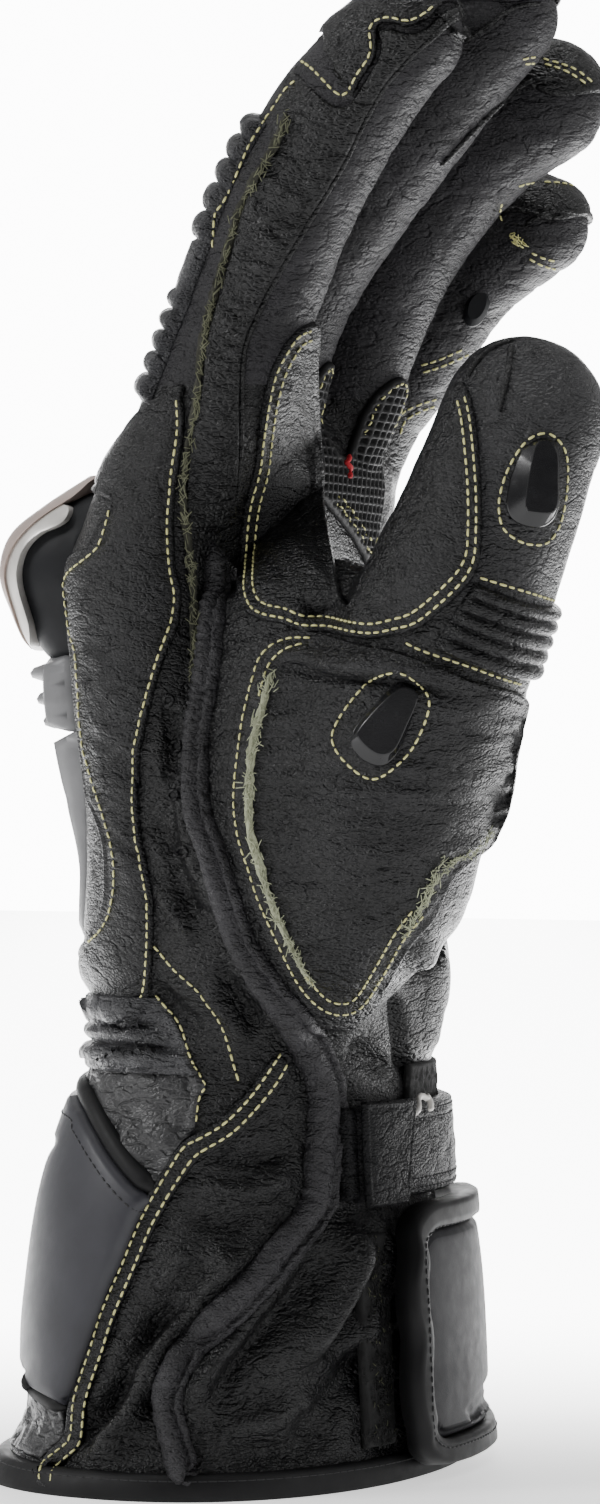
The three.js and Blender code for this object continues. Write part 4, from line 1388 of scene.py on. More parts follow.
@dataclass
class Panel:
    """A patch laid on a surface: an outline on a chart, with sunk lines where it is sewn.

    Attributes:
        name: The piece's name.
        chart: The chart that it is drawn on.
        outline: Its edge on the chart.
        thick: Its thickness.
        lift: How far over the surface it begins.
        under: How far over the surface its underside lies, negative for inside.
        spacing: The spacing of its mesh.
        sink: The depth of the sunk lines.
        insets: Their distances from the edge.
        corner: The roundness of its upper edge.
        crown: How much it bulges towards its middle.
        hole: The edge of a hole in it.
        relief: Heights that are added to its top.
        rounded: Whether its edge is a smooth line through the outline's points.
        soften: How often its normals are evened out.
        steepest: How steeply it may fall away from the eye, 0 for any slope.
        edge_share: The share of its thickness that it has at its edge.
        crown_reach: How far from its edge it still bulges up.
        groove: The half width of a sunk line.
    """

    name: str
    chart: Chart
    outline: Line
    thick: float = 1.1
    lift: float = 0.0
    under: float = -0.3
    spacing: float = 1.3
    sink: float = 0.35
    insets: tuple[float, ...] = (2.2,)
    corner: float = 0.35
    crown: float = 0.0
    hole: Line | None = None
    relief: Relief | None = None
    rounded: bool = True
    soften: int = 2
    steepest: float = 0.0
    edge_share: float = 0.35
    crown_reach: float = 5.0
    groove: float = 0.6

    def edge(self, outline: Line) -> Array:
        """An outline as an even ring.

        Args:
            outline: Its points on the chart.

        Returns:
            Flat points in rough millimetres, counter-clockwise.
        """
        flat = self.chart.flat(outline)
        step = min(self.spacing, 1.0)
        if self.rounded:
            ring = smooth_line(flat, step, closed=True)
        else:
            sides = []
            for a, b in zip(flat, np.roll(flat, -1, axis=0)):
                count = max(int(np.hypot(*(b - a)) / step), 1)
                sides.append(a + (b - a) * np.linspace(0, 1, count + 1)[:-1, None])
            ring = np.vstack(sides)
        turning = np.sum(ring[:, 0] * np.roll(ring[:, 1], -1) - ring[:, 1] * np.roll(ring[:, 0], -1))
        return ring if turning > 0 else ring[::-1]

    @staticmethod
    def inset(ring: Array, depth: float) -> Array:
        """A ring's points moved to its left."""
        along = np.roll(ring, -1, axis=0) - np.roll(ring, 1, axis=0)
        return ring + unit(np.column_stack([-along[:, 1], along[:, 0]])) * depth

    def sheet(self) -> tuple[Array, Faces, Array]:
        """The flat mesh.

        Returns:
            Its flat points, its triangles and each point's distance from the edge.
        """
        rings = [self.edge(self.outline)]
        if self.hole is not None:
            rings.append(self.edge(self.hole)[::-1])
        loops = [np.vstack([ring, ring[:1]]) for ring in rings]

        def edge_gap(points: Array) -> Array:
            """How far points are from the nearest edge."""
            return np.min([line_distance(points, loop)[0] for loop in loops], axis=0)

        def within(points: Array) -> Array:
            """Which points lie on the patch."""
            keep = inside(points, rings[0])
            return keep & ~inside(points, rings[1]) if len(rings) > 1 else keep

        depths = [self.corner, self.corner * 2.2]
        if self.sink:
            depths += [inset + step for inset in self.insets for step in (-0.8, 0.0, 0.8)]
        depths = sorted({round(d, 3) for d in depths if d > 0.15})
        extra = []
        for depth in depths:
            for ring in rings:
                places = self.inset(ring, depth)
                extra.append(places[(edge_gap(places) > depth * 0.93) & within(places)])
        low, high = rings[0].min(0), rings[0].max(0)
        columns = np.arange(low[0], high[0], self.spacing)
        rows = np.arange(low[1], high[1], self.spacing * 0.87)
        grid = np.array([(x + k % 2 * self.spacing / 2, y) for k, y in enumerate(rows) for x in columns])
        grid = grid[(edge_gap(grid) > depths[-1] + self.spacing * 0.5) & within(grid)]
        edges, start = [], 0
        for ring in rings:
            edges += [(start + k, start + (k + 1) % len(ring)) for k in range(len(ring))]
            start += len(ring)
        flat = np.vstack([*rings, *extra, grid])
        corners, _, faces, *_ = delaunay_2d_cdt([Vector(q) for q in flat], edges, [], 0, 1e-5)
        flat = np.array([tuple(q) for q in corners])
        middles = flat[np.array([tuple(face) for face in faces])].mean(1)
        keep = within(middles)
        return flat, [tuple(face) for face, kept in zip(faces, keep) if kept], edge_gap(flat)

    def build(self, ground: Surface, grow_ground: bool = True, other: Surface | None = None) -> Piece:
        """Makes the patch.

        Args:
            ground: What it lies on; its top is added to it.
            grow_ground: Whether later pieces lie on top of it.
            other: A second surface that its top is added to.

        Returns:
            The closed patch.
        """
        flat, faces, gap = self.sheet()
        used = np.unique(np.array(faces))
        renumber = np.full(len(flat), -1)
        renumber[used] = np.arange(len(used))
        flat, gap = flat[used], gap[used]
        faces = [tuple(int(renumber[v]) for v in face) for face in faces]
        places = self.chart.unflat(flat)
        points, normals = ground.lay(self.chart, places)
        faces = self.face_out(faces, points, normals)
        pairs = np.array([(a, b) for face in faces for a, b in zip(face, (*face[1:], face[0]))])
        if self.steepest:
            points = self.held(places, flat, points, pairs)
            normals = sheet_normals(points, faces)
        for _ in range(self.soften):
            total, count = normals.copy(), np.ones(len(normals))
            np.add.at(total, pairs[:, 0], normals[pairs[:, 1]])
            np.add.at(count, pairs[:, 0], 1)
            normals = unit(total)
        round_edge = np.sqrt(np.clip(1 - (1 - np.clip(gap / (self.corner * 2.2), 0, 1)) ** 2, 0, 1))
        height = self.thick * (self.edge_share + (1 - self.edge_share) * round_edge)
        if self.sink:
            for inset in self.insets:
                height -= self.sink * np.exp(-(((gap - inset) / self.groove) ** 2))
        height += self.crown * (1 - np.exp(-gap / self.crown_reach))
        if self.relief:
            height += self.relief(places, points) * smoothstep(0.2, 2.5, gap)
        top = points + normals * (self.lift + height)[:, None]
        bottom = points + normals * (self.lift + self.under)
        if grow_ground:
            ground.add(top, faces)
        if other:
            other.add(top, faces)
        corners, closed = closed_slab(top, bottom, faces)
        return make_object(self.name, ground.space.metres(corners), closed)

    def held(self, places: Array, flat: Array, points: Array, pairs: Array) -> Array:
        """Points kept from falling behind an edge: none lies much deeper than the ones beside it.

        Args:
            places: The chart places.
            flat: The same places in rough millimetres.
            points: The points on the ground.
            pairs: Point numbers at both ends of each edge of the sheet.

        Returns:
            The points on a sheet that is nowhere too steep.
        """
        starts, directions = self.chart.rays(places)
        depth = np.einsum("ij,ij->i", points - starts, directions)
        both = np.vstack([pairs, pairs[:, ::-1]])
        step = np.linalg.norm(flat[both[:, 0]] - flat[both[:, 1]], axis=1) * self.steepest
        for _ in range(60):
            before = depth.copy()
            np.minimum.at(depth, both[:, 0], before[both[:, 1]] + step)
            if np.allclose(before, depth):
                break
        return starts + directions * depth[:, None]

    @staticmethod
    def face_out(faces: Faces, points: Array, normals: Array) -> Faces:
        """Turns a sheet's faces so that they look outwards."""
        total = 0.0
        for a, b, c, *_ in faces[:: max(len(faces) // 200, 1)]:
            total += float(np.cross(points[b] - points[a], points[c] - points[a]) @ normals[a])
        return faces if total > 0 else [tuple(reversed(face)) for face in faces]


ROUND_PROFILE = (
    (-1, -0.12), (-1, 0.15), (-0.93, 0.48), (-0.74, 0.76), (-0.42, 0.95), (0, 1), (0.42, 0.95), (0.74, 0.76),
    (0.93, 0.48), (1, 0.15), (1, -0.12),
)
FLAT_PROFILE = (
    (-1, -0.1), (-1, 0.6), (-0.93, 0.86), (-0.78, 0.98), (-0.4, 1), (0, 1), (0.4, 1), (0.78, 0.98),
    (0.93, 0.86), (1, 0.6), (1, -0.1),
)


@dataclass
class Sweep:
    """A rounded strip along a line of a chart: a roll, a binding, a welt.

    Attributes:
        name: The piece's name.
        chart: The chart that it is drawn on.
        line: Its middle line on the chart.
        half: Half its width, or a table of shares of its length and half widths.
        rise: Its height.
        lift: How far over the surface it begins.
        closed: Whether its ends join.
        step: The spacing of its rings.
        profile: Its section, as shares of half the width and of the height.
        taper: The share of its length that each end narrows over.
        soften: How often the line is evened out.
        ribbing: Height and spacing of cross ribs.
        ribbed_to: The share of its length that the ribs reach.
        tilt: How much higher its left edge lies.
        ragged: How uneven it is, as a share.
    """

    name: str
    chart: Chart
    line: Line
    half: float | Line = 2.0
    rise: float = 2.0
    lift: float = 0.0
    closed: bool = False
    step: float = 0.9
    profile: Line = ROUND_PROFILE
    taper: float = 0.02
    soften: int = 5
    ribbing: tuple[float, float] = (0.0, 1.0)
    ribbed_to: float = 1.0
    tilt: float = 0.0
    ragged: float = 0.0

    def path(self, ground: Surface) -> tuple[Array, Array, Array]:
        """The softened line on the surface.

        Args:
            ground: What it lies on.

        Returns:
            Its points, the surface's normals and the sideways directions.
        """
        places = self.chart.unflat(smooth_line(self.chart.flat(self.line), self.step, self.closed))
        points, normals = ground.lay(self.chart, places)
        if isinstance(self.chart, PhotoChart):
            starts, directions = self.chart.rays(places)
            depth = np.einsum("ij,ij->i", points - starts, directions)
            for order in (range(1, len(depth)), range(len(depth) - 2, -1, -1)):
                for k in order:
                    beside = k - 1 if order.step > 0 else k + 1
                    depth[k] = min(depth[k], depth[beside] + 2.0 * self.step)
            points = starts + directions * depth[:, None]
        for _ in range(self.soften):
            for values in (points, normals):
                ahead, behind = np.roll(values, -1, axis=0), np.roll(values, 1, axis=0)
                middle = (ahead + behind + 2 * values) / 4
                if self.closed:
                    values[:] = middle
                else:
                    values[1:-1] = middle[1:-1]
        normals = unit(normals)
        if self.closed:
            along = np.roll(points, -1, axis=0) - np.roll(points, 1, axis=0)
        else:
            along = np.gradient(points, axis=0)
        return points, normals, unit(np.cross(normals, unit(along)))

    def build(self, ground: Surface, grow_ground: bool = True) -> Piece:
        """Makes the strip.

        Args:
            ground: What it lies on; its surface is added to it.
            grow_ground: Whether later pieces lie on top of it.

        Returns:
            The closed strip.
        """
        points, normals, sides = self.path(ground)
        count, wide = len(points), len(self.profile)
        travelled = np.concatenate([[0], np.cumsum(np.linalg.norm(np.diff(points, axis=0), axis=1))])
        share = travelled / travelled[-1]
        if isinstance(self.half, (int, float)):
            half = np.full(count, float(self.half))
        else:
            half = np.interp(share, *np.array(self.half, float).T)
        if self.ragged:
            half = half * (1 + self.ragged * Noise(7).at(points / 1.6))
        end = np.sqrt(smoothstep(-0.001, self.taper, np.minimum(share, 1 - share)))
        if self.closed:
            end = np.ones(count)
        depth, pitch = self.ribbing
        ribbed = 1 - smoothstep(self.ribbed_to * 0.9, self.ribbed_to, share)
        ribs = 1 + depth * np.sin(2 * np.pi * travelled / pitch) * ribbed
        rings = []
        for k, (across, up) in enumerate(self.profile):
            out = sides * (across * half * end)[:, None]
            high = self.lift + up * self.rise * end * (ribs if up > 0.3 else 1) + self.tilt * across
            if self.ragged:
                high = high + self.ragged * self.rise * Noise(80 + k).at(points / 0.9) * (up > 0.3)
            rings.append(points + out + normals * high[:, None])
        corners = np.stack(rings, axis=1).reshape(-1, 3)
        faces = grid_faces(count, wide, wrap=True, loop=self.closed)
        if not self.closed:
            faces += end_faces(count, wide)
        faces = outward(corners, faces)
        if grow_ground:
            ground.add(corners, faces)
        return make_object(self.name, ground.space.metres(corners), faces)


@dataclass
class Pleats:
    """A pleated stretch panel: rolls across a chart, between lines that may slant.

    Attributes:
        name: The piece's name.
        chart: The chart that it is drawn on.
        across: The chart's first value at both ends of a roll.
        edges: The chart's second value at both ends of each band's first and last line.
        rolls: How many rolls each band has, 0 for a smooth band.
        low: The height between two rolls.
        high: The height on top of one.
        columns: Steps along a roll.
        steps: Lines of points in a roll.
        sharp: How round a roll is, less for a rounder one.
        crumple: The depth of its unevenness.
        slant: How far the last line's ends are drawn in.
    """

    name: str
    chart: Chart
    across: Point
    edges: Sequence[Point]
    rolls: tuple[int, ...]
    low: float = 0.9
    high: float = 3.0
    columns: int = 44
    steps: int = 12
    sharp: float = 0.55
    crumple: float = 0.12
    slant: float = 0.0

    def build(self, ground: Surface) -> Piece:
        """Makes the panel.

        Args:
            ground: What it lies on; its top is added to it.

        Returns:
            The closed panel.
        """
        first, last = self.across
        lines, heights = [], []
        for k, rolls in enumerate(self.rolls):
            low, high = np.array(self.edges[k]), np.array(self.edges[k + 1])
            count = max(rolls, 1) * self.steps
            for step in range(count + (k == len(self.rolls) - 1)):
                t = step / count
                lines.append(low + (high - low) * t)
                wave = math.sin(math.pi * ((t * rolls) % 1.0)) ** self.sharp if rolls else 0.45
                heights.append(wave)
        share = np.linspace(0, 1, self.columns + 1)
        shifts = self.slant * np.linspace(0, 1, len(lines))
        places = np.array([(first + shift + (last - first - 2 * shift) * u, line[0] + (line[1] - line[0]) * u)
                           for shift, line in zip(shifts, lines) for u in share])
        wave = np.repeat(heights, len(share))
        u = np.tile(share, len(lines))
        points, normals = ground.lay(self.chart, places)
        ends = smoothstep(0, 0.07, np.minimum(u, 1 - u))
        rows = np.repeat(np.arange(len(lines)), len(share))
        rim = np.minimum(rows, len(lines) - 1 - rows)
        ends *= smoothstep(-0.5, 2.5, rim)
        height = self.low * (0.4 + 0.6 * ends) + (self.high - self.low) * wave * ends
        height += self.crumple * Noise(11).at(points / 2.2) * ends
        top = points + normals * height[:, None]
        faces = Panel.face_out(grid_faces(len(lines), len(share)), points, normals)
        ground.add(top, faces)
        corners, closed = closed_slab(top, points - normals * 0.3, faces)
        return make_object(self.name, ground.space.metres(corners), closed)


@dataclass
class Stitching:
    """Rows of single stitches, all of one thread."""

    PROFILE = (
        (0.0, 0.35, -0.25), (0.12, 0.85, 0.15), (0.5, 1.0, 0.35), (0.88, 0.85, 0.15), (1.0, 0.35, -0.25),
    )
    pitch: float = 1.95
    length: float = 1.5
    radius: float = 0.23
    sides: int = 6
    raised: float = 1.6
    flattening: Point = (1.1, 0.85)
    points: list[Array] = field(default_factory=list)
    faces: Faces = field(default_factory=list)

    def row(self, ground: Surface, chart: Chart, line: Line, closed: bool = False) -> None:
        """Sews one row along a line of a chart.

        Args:
            ground: What it is sewn into.
            chart: The chart of the line.
            line: The line's points.
            closed: Whether it joins up.
        """
        places = chart.unflat(smooth_line(chart.flat(line), 0.6, closed))
        if closed:
            places = np.vstack([places, places[:1]])
        points, normals = ground.lay(chart, places)
        steps = np.linalg.norm(np.diff(points, axis=0), axis=1)
        travelled = np.concatenate([[0], np.cumsum(np.minimum(steps, 2.5))])
        wander = np.random.default_rng(len(line))
        for start in np.arange(self.pitch * 0.2, travelled[-1] - self.length, self.pitch):
            length = self.length * wander.uniform(0.86, 1.06)
            at = np.array([start, start + length / 2, start + length])
            knots = np.column_stack([np.interp(at, travelled, points[:, k]) for k in range(3)])
            normal = unit(np.array([np.interp(at[1], travelled, normals[:, k]) for k in range(3)]))
            if np.linalg.norm(knots[2] - knots[0]) < length * 1.5:
                self.stitch(knots, normal)

    def both_sides(self, ground: Surface, line: Line) -> None:
        """Sews a photographed line and its mirror image."""
        places = ROUND.placed(ground, line)
        self.row(ground, ROUND, places)
        self.row(ground, ROUND, mirrored(places))

    def stitch(self, knots: Array, normal: Array) -> None:
        """Adds one stitch.

        Args:
            knots: Its start, middle and end on the surface.
            normal: The surface's normal.
        """
        along = unit(knots[2] - knots[0])
        side = unit(np.cross(normal, along))
        start = len(self.points)
        wide, high = self.flattening
        for share, fat, lift in self.PROFILE:
            middle = knots[0] + (knots[2] - knots[0]) * share + normal * (lift * self.radius * self.raised)
            for k in range(self.sides):
                angle = 2 * math.pi * k / self.sides
                offset = side * math.cos(angle) * wide + normal * math.sin(angle) * high
                self.points.append(middle + offset * fat * self.radius)
        rings = len(self.PROFILE)
        self.faces += grid_faces(rings, self.sides, wrap=True, start=start)
        self.faces += end_faces(rings, self.sides, start)

    def build(self, name: str, space: Space) -> Piece:
        """Makes the object of all rows so far."""
        return make_object(name, space.metres(np.array(self.points)), self.faces)


@dataclass
class Fray:
    """Loose fibres that stand along a raw, cut edge."""

    name: str
    chart: Chart
    line: Line
    half: float = 0.9
    per_mm: float = 4.0
    longest: float = 2.4
    radius: float = 0.1

    def build(self, ground: Surface, finish: Finish) -> None:
        """Makes the fibres.

        Args:
            ground: What they lie on.
            finish: Their finish.
        """
        path = Sweep(self.name, self.chart, self.line, step=0.5, soften=2)
        points, normals, sides = path.path(ground)
        along = unit(np.gradient(points, axis=0))
        chance = np.random.default_rng(len(self.line) + 7)
        strands = Stitching(radius=self.radius, sides=4)
        for _ in range(int(len(points) * 0.5 * self.per_mm)):
            k = int(chance.integers(0, len(points)))
            clump = 1 + 0.8 * math.sin(k * 0.37) * math.sin(k * 0.093 + 1)
            middle = points[k] + sides[k] * chance.normal(0, self.half * 0.5 * clump)
            middle = middle + normals[k] * chance.uniform(0.05, 0.75) * clump
            turn = chance.normal(0, 0.7)
            way = along[k] * math.cos(turn) + sides[k] * math.sin(turn) + normals[k] * chance.normal(0, 0.18)
            reach = unit(way) * chance.uniform(0.3, 0.5) * self.longest
            strands.stitch(np.array([middle - reach, middle, middle + reach]), normals[k])
        dress(strands.build(self.name, ground.space), finish)


@dataclass(frozen=True)
class Studio:
    """A pale floor, a pale surround and soft lamps.

    Attributes:
        floor_size: The floor's side in metres.
        floor_glow: The floor's own light near the glove, and on the strip behind it.
        glow_depth: Where that strip fades in, in metres towards the camera.
        glow_width: Where it fades in from its sides, in metres.
        behind: The surround's strength behind the glove.
        in_front: Its strength on the photographer's side.
        glow: The strength of the bright patch straight behind the glove.
        aim_height: The height that the lamps shine at, in metres.
        lamps: Name, place, size and power of each lamp.
    """

    floor_size: float = 6.0
    floor_glow: tuple[float, float] = (0.9, 9.0)
    glow_depth: tuple[float, float] = (0.02, -0.3)
    glow_width: tuple[float, float] = (0.6, 0.16)
    behind: float = 0.6
    in_front: float = 0.13
    glow: float = 12.0
    aim_height: float = 0.15
    lamps: tuple[tuple[str, Triple, float, float], ...] = (
        ("key", (-1.25, -1.1, 1.2), 0.5, 19.0),
        ("top", (-0.1, 0.1, 1.9), 0.7, 12.0),
        ("rim", (1.6, 0.1, 0.8), 0.5, 5.5),
    )

    def build(self) -> None:
        """Adds the floor, the surround's light and the lamps."""
        deselect()
        bpy.ops.mesh.primitive_grid_add(x_subdivisions=2, y_subdivisions=2, size=self.floor_size)
        floor = bpy.context.active_object
        floor.name = "floor"
        nodes = Nodes.material("pale_floor")
        depth = nodes.fade(nodes.along(VIEW.back), *self.glow_depth)
        side = nodes.fade(nodes.math("ABSOLUTE", nodes.along(VIEW.across)), *self.glow_width)
        low, high = self.floor_glow
        glow = nodes.math("MULTIPLY_ADD", nodes.math("MULTIPLY", depth, side), high - low, low)
        nodes.shade(Base_Color=(0.9, 0.9, 0.9, 1), Roughness=0.7, Emission_Color=(1, 1, 1, 1),
                    Emission_Strength=glow)
        floor.data.materials.append(nodes.owner)
        self.surround()
        for name, place, size, power in self.lamps:
            self.lamp(name, place, size, power)

    def surround(self) -> None:
        """Adds a pale surround that is dimmer on the photographer's side."""
        world = bpy.data.worlds.new("studio")
        bpy.context.scene.world = world
        nodes = Nodes(world, "Generated")
        facing = nodes.along(VIEW.back)
        sides = nodes.fade(facing, -0.2, 0.95, (self.behind, self.in_front))
        backdrop = nodes.fade(facing, -0.93, -0.985, (0.0, self.glow))
        nodes.shade("Background", Color=(1, 1, 1, 1), Strength=nodes.math("ADD", sides, backdrop))

    def lamp(self, name: str, place: Triple, size: float, power: float) -> None:
        """Adds a soft lamp that shines at the glove's middle.

        Args:
            name: Its name.
            place: Where it hangs, in metres.
            size: Its side in metres.
            power: Its power in watts.
        """
        data = bpy.data.lights.new(name, "AREA")
        data.energy = power
        data.size = size
        lamp = bpy.data.objects.new(name, data)
        bpy.context.scene.collection.objects.link(lamp)
        lamp.location = place
        aim = Vector((0, 0, self.aim_height)) - Vector(place)
        lamp.rotation_euler = aim.to_track_quat("-Z", "Y").to_euler()


@dataclass
class IndexSide:
    """The index finger's shiny outer side, with its raw outseam and welts."""

    outline: Line = (
        (290, 74), (306, 84), (322, 98), (337, 107), (350, 104), (363, 84), (377, 62), (382, 44), (377, 34),
        (390, 29), (407, 33), (425, 29), (440, 15), (455, 8), (463, 16), (425, 44), (390, 79), (366, 118),
        (346, 158), (330, 186), (308, 222), (279, 272), (258, 312), (245, 345), (240, 392), (239, 440),
        (236, 486), (232, 524), (212, 527), (188, 524), (186, 485), (191, 440), (197, 412), (203, 385),
        (206, 352), (213, 320), (222, 292), (233, 252), (240, 222), (252, 188), (266, 158), (276, 118),
    )
    raw_edge: Line = (
        (287, 112), (282, 130), (270, 154), (258, 175), (250, 190), (239, 212), (233, 234), (226, 255),
        (220, 274), (214, 297), (207, 325), (202, 350), (199, 380), (196, 410), (190, 438), (185, 470),
        (183, 500), (188, 540), (192, 580), (194, 620), (194, 655), (193, 680),
    )
    palm_seam: Line = (
        (461, 12), (428, 41), (390, 80), (366, 119), (346, 160), (331, 186), (308, 224), (280, 272),
        (259, 313), (246, 344), (243, 365), (242, 392), (241, 440), (238, 480), (236, 505),
    )
    back_stitch: Line = (
        (296, 80), (286, 88), (276, 103), (262, 124), (250, 143), (240, 166), (230, 190), (222, 204),
        (215, 214), (213, 236), (212, 255),
    )

    def build(self, ground: Surface, thread: Stitching) -> None:
        """Makes the side panel, its raw edge and its seams.

        Args:
            ground: The glove so far, which the pieces lie on.
            thread: The yellow thread.
        """
        panel = Panel("index_side_leather", PHOTO, self.outline, thick=1.1, insets=(), sink=0, spacing=0.75,
                      relief=self.wrinkles, steepest=2.4)
        dress(panel.build(ground), Finish.SHINY, Slot.SHINY, "index_side_panel")
        edge = Sweep("index_raw_edge", PHOTO, self.raw_edge, half=0.8, rise=1.0, step=0.4, soften=2,
                     ragged=0.5)
        dress(edge.build(ground), Finish.RAW)
        Fray("index_edge_fibres", PHOTO, self.raw_edge, half=0.7, per_mm=3.2).build(ground, Finish.OLIVE)
        welt = Sweep("index_palm_welt", PHOTO, self.palm_seam, half=0.55, rise=0.8, step=0.8)
        dress(welt.build(ground), Finish.SHINY)
        thread.row(ground, PHOTO, self.back_stitch)

    @staticmethod
    def wrinkles(_places: Array, points: Array) -> Array:
        """Short cross wrinkles, square to the finger."""
        along = points @ np.array([0.42, 0, 0.9])
        flat = np.column_stack([points[:, 1] / 9, along / 1.7, points[:, 0] / 9])
        return 0.4 * Noise(21).at(flat) + 0.3 * Noise(22).at(flat * 2.1)


@dataclass
class ThumbSide:
    """The padded patches over the web and the ball of the thumb, with the thumb's arc seams."""

    web: Line = (
        (318, 326), (306, 325), (294, 333), (281, 350), (270, 373), (262, 405), (258, 440), (254, 472),
        (246, 500), (242, 526), (239, 568), (238, 592), (245, 611), (261, 620), (283, 624), (300, 631),
        (326, 632), (350, 637), (372, 639), (395, 635), (418, 629), (441, 611), (459, 595), (472, 580),
        (480, 560), (482, 532), (482, 493), (479, 450), (475, 415), (469, 391), (460, 382), (452, 396),
        (440, 424), (424, 457), (408, 492), (392, 524), (377, 552), (363, 578), (350, 606), (341, 592),
        (334, 560), (327, 520), (321, 470), (318, 420), (316, 370),
    )
    web_outer: Line = (
        (312, 331), (299, 337), (287, 354), (276, 376), (269, 407), (264, 441), (260, 472), (252, 501),
        (248, 526), (245, 568), (244, 589), (250, 606), (263, 614), (283, 618), (301, 625), (327, 626),
        (350, 631), (372, 633), (393, 629), (415, 623), (437, 606), (454, 590), (466, 576), (474, 558),
        (476, 532), (476, 493), (473, 450), (469, 415), (463, 391),
    )
    web_inner: Line = (
        (313, 340), (303, 345), (294, 358), (284, 379), (277, 408), (272, 441), (268, 474), (260, 503),
        (256, 528), (253, 568), (253, 585), (257, 598), (267, 605), (286, 609), (303, 616), (327, 617),
        (350, 622), (371, 624), (390, 620), (410, 614), (431, 598), (447, 583), (458, 571), (466, 555),
        (468, 532), (468, 493), (465, 451), (461, 417), (456, 396),
    )
    shield: Line = (
        (318, 633), (289, 631), (268, 640), (252, 657), (247, 677), (242, 694), (236, 721), (232, 750),
        (228, 786), (228, 811), (233, 842), (241, 866), (252, 900), (269, 938), (292, 984), (316, 1014),
        (340, 1022), (367, 1014), (389, 980), (411, 943), (434, 916), (450, 880), (474, 858), (497, 838),
        (512, 800), (518, 760), (524, 720), (526, 700), (510, 690), (470, 680), (436, 668), (400, 652),
        (360, 644),
    )
    shield_stitch: Line = (
        (312, 638), (289, 638), (270, 646), (258, 660), (253, 677), (248, 694), (242, 721), (238, 750),
        (234, 786), (234, 811), (239, 842), (247, 866), (258, 900), (275, 938), (298, 984), (320, 1008),
        (341, 1015), (362, 1007), (383, 976), (405, 938), (428, 911),
    )
    shield_inner: Line = ((304, 643), (283, 650), (269, 664), (262, 684), (258, 699))
    shield_low: Line = ((304, 975), (325, 998), (341, 1004), (356, 998), (374, 970), (396, 932), (418, 904))
    raw_edge: Line = (
        (272, 672), (268, 684), (263, 706), (257, 726), (252, 750), (250, 775), (249, 811), (251, 835),
        (259, 862), (268, 893), (282, 927), (299, 962), (312, 985),
    )
    heel_edge: Line = (
        (404, 934), (416, 915), (425, 898), (432, 880), (440, 868), (455, 860), (471, 852), (482, 842),
        (491, 832),
    )
    tip_arc: Line = ((467, 378), (474, 366), (487, 352), (501, 344), (516, 340))
    tip_seam: Line = ((511, 345), (510, 358), (509, 370), (504, 390), (499, 412))
    thumb_seam: Line = ((478, 577), (500, 584), (530, 593), (555, 601))
    rib_seam: Line = ((404, 642), (420, 650), (440, 657), (470, 667), (500, 678), (522, 685))
    rib_top: Line = ((474, 583), (553, 607))
    rib_bottom: Line = ((432, 648), (526, 682))

    def build(self, ground: Surface, thread: Stitching) -> None:
        """Makes the patches and their seams.

        Args:
            ground: The glove so far, which the pieces lie on.
            thread: The yellow thread.
        """
        thumb = DigitChart(DIGITS["thumb"])
        lines = [ground.lay(PHOTO, np.array(line, float))[0] for line in (self.rib_bottom, self.rib_top)]
        (first, low_near), (last, low_far) = thumb.locate(lines[0])
        (high_first, high_near), (_, high_far) = thumb.locate(lines[1])
        rows = ((low_near, low_far), (high_near, high_far))
        ribs = Pleats("thumb_pleats", thumb, (first, last + 62), rows, (5,), low=0.7, high=2.1, sharp=0.5,
                      slant=high_first - first)
        dress(ribs.build(ground), Finish.LEATHER, Slot.LEATHER, "thumb_ribs")
        shield = Panel("thenar_leather", PHOTO, self.shield, thick=1.2, insets=(1.3,), relief=THENAR_CREASES,
                       crown=0.4, spacing=1.1, steepest=2.6)
        dress(shield.build(ground), Finish.LEATHER, Slot.LEATHER, "thenar_patch")
        web = Panel("web_leather", PHOTO, self.web, thick=1.2, insets=(1.3, 2.9), relief=self.web_creases,
                    crown=0.5, spacing=1.0, steepest=2.2)
        dress(web.build(ground), Finish.LEATHER, Slot.LEATHER, "web_patch")
        raw = Sweep("thenar_raw_edge", PHOTO, self.raw_edge, rise=0.6, step=0.4, soften=2, ragged=0.6,
                    half=((0, 0.4), (0.15, 0.9), (0.6, 0.8), (1, 0.3)))
        dress(raw.build(ground), Finish.FIBRE)
        Fray("thenar_edge_fibres", PHOTO, self.raw_edge, half=0.9, per_mm=5.0).build(ground, Finish.FIBRE)
        Fray("heel_edge_fibres", PHOTO, self.heel_edge, half=1.3, per_mm=7.0).build(ground, Finish.FIBRE)
        for name, line in (("thumb_arc_welt", self.tip_arc), ("thumb_tip_welt", self.tip_seam)):
            welt = Sweep(name, PHOTO, line, half=0.6, rise=0.8, step=0.7)
            dress(welt.build(ground), Finish.LEATHER)
        for line in (self.web_outer, self.web_inner, self.shield_stitch, self.shield_inner, self.shield_low,
                     self.thumb_seam, self.rib_seam):
            thread.row(ground, PHOTO, line)

    @staticmethod
    def web_creases(_places: Array, points: Array) -> Array:
        """Creases that run in to the crotch of the thumb."""
        pixels = VIEW.project(points) - (348, 610)
        angle = np.arctan2(pixels[:, 1], pixels[:, 0])
        away = np.hypot(pixels[:, 0], pixels[:, 1]) / 5
        flat = np.column_stack([angle * 4.5, away / 12, np.zeros(len(angle))])
        fine = points / (3.2, 3.2, 1.7)
        height = 1.2 * Noise(33).at(flat) * np.exp(-away / 20) + 0.26 * Noise(34).at(fine)
        return height * smoothstep(0, 4, away)


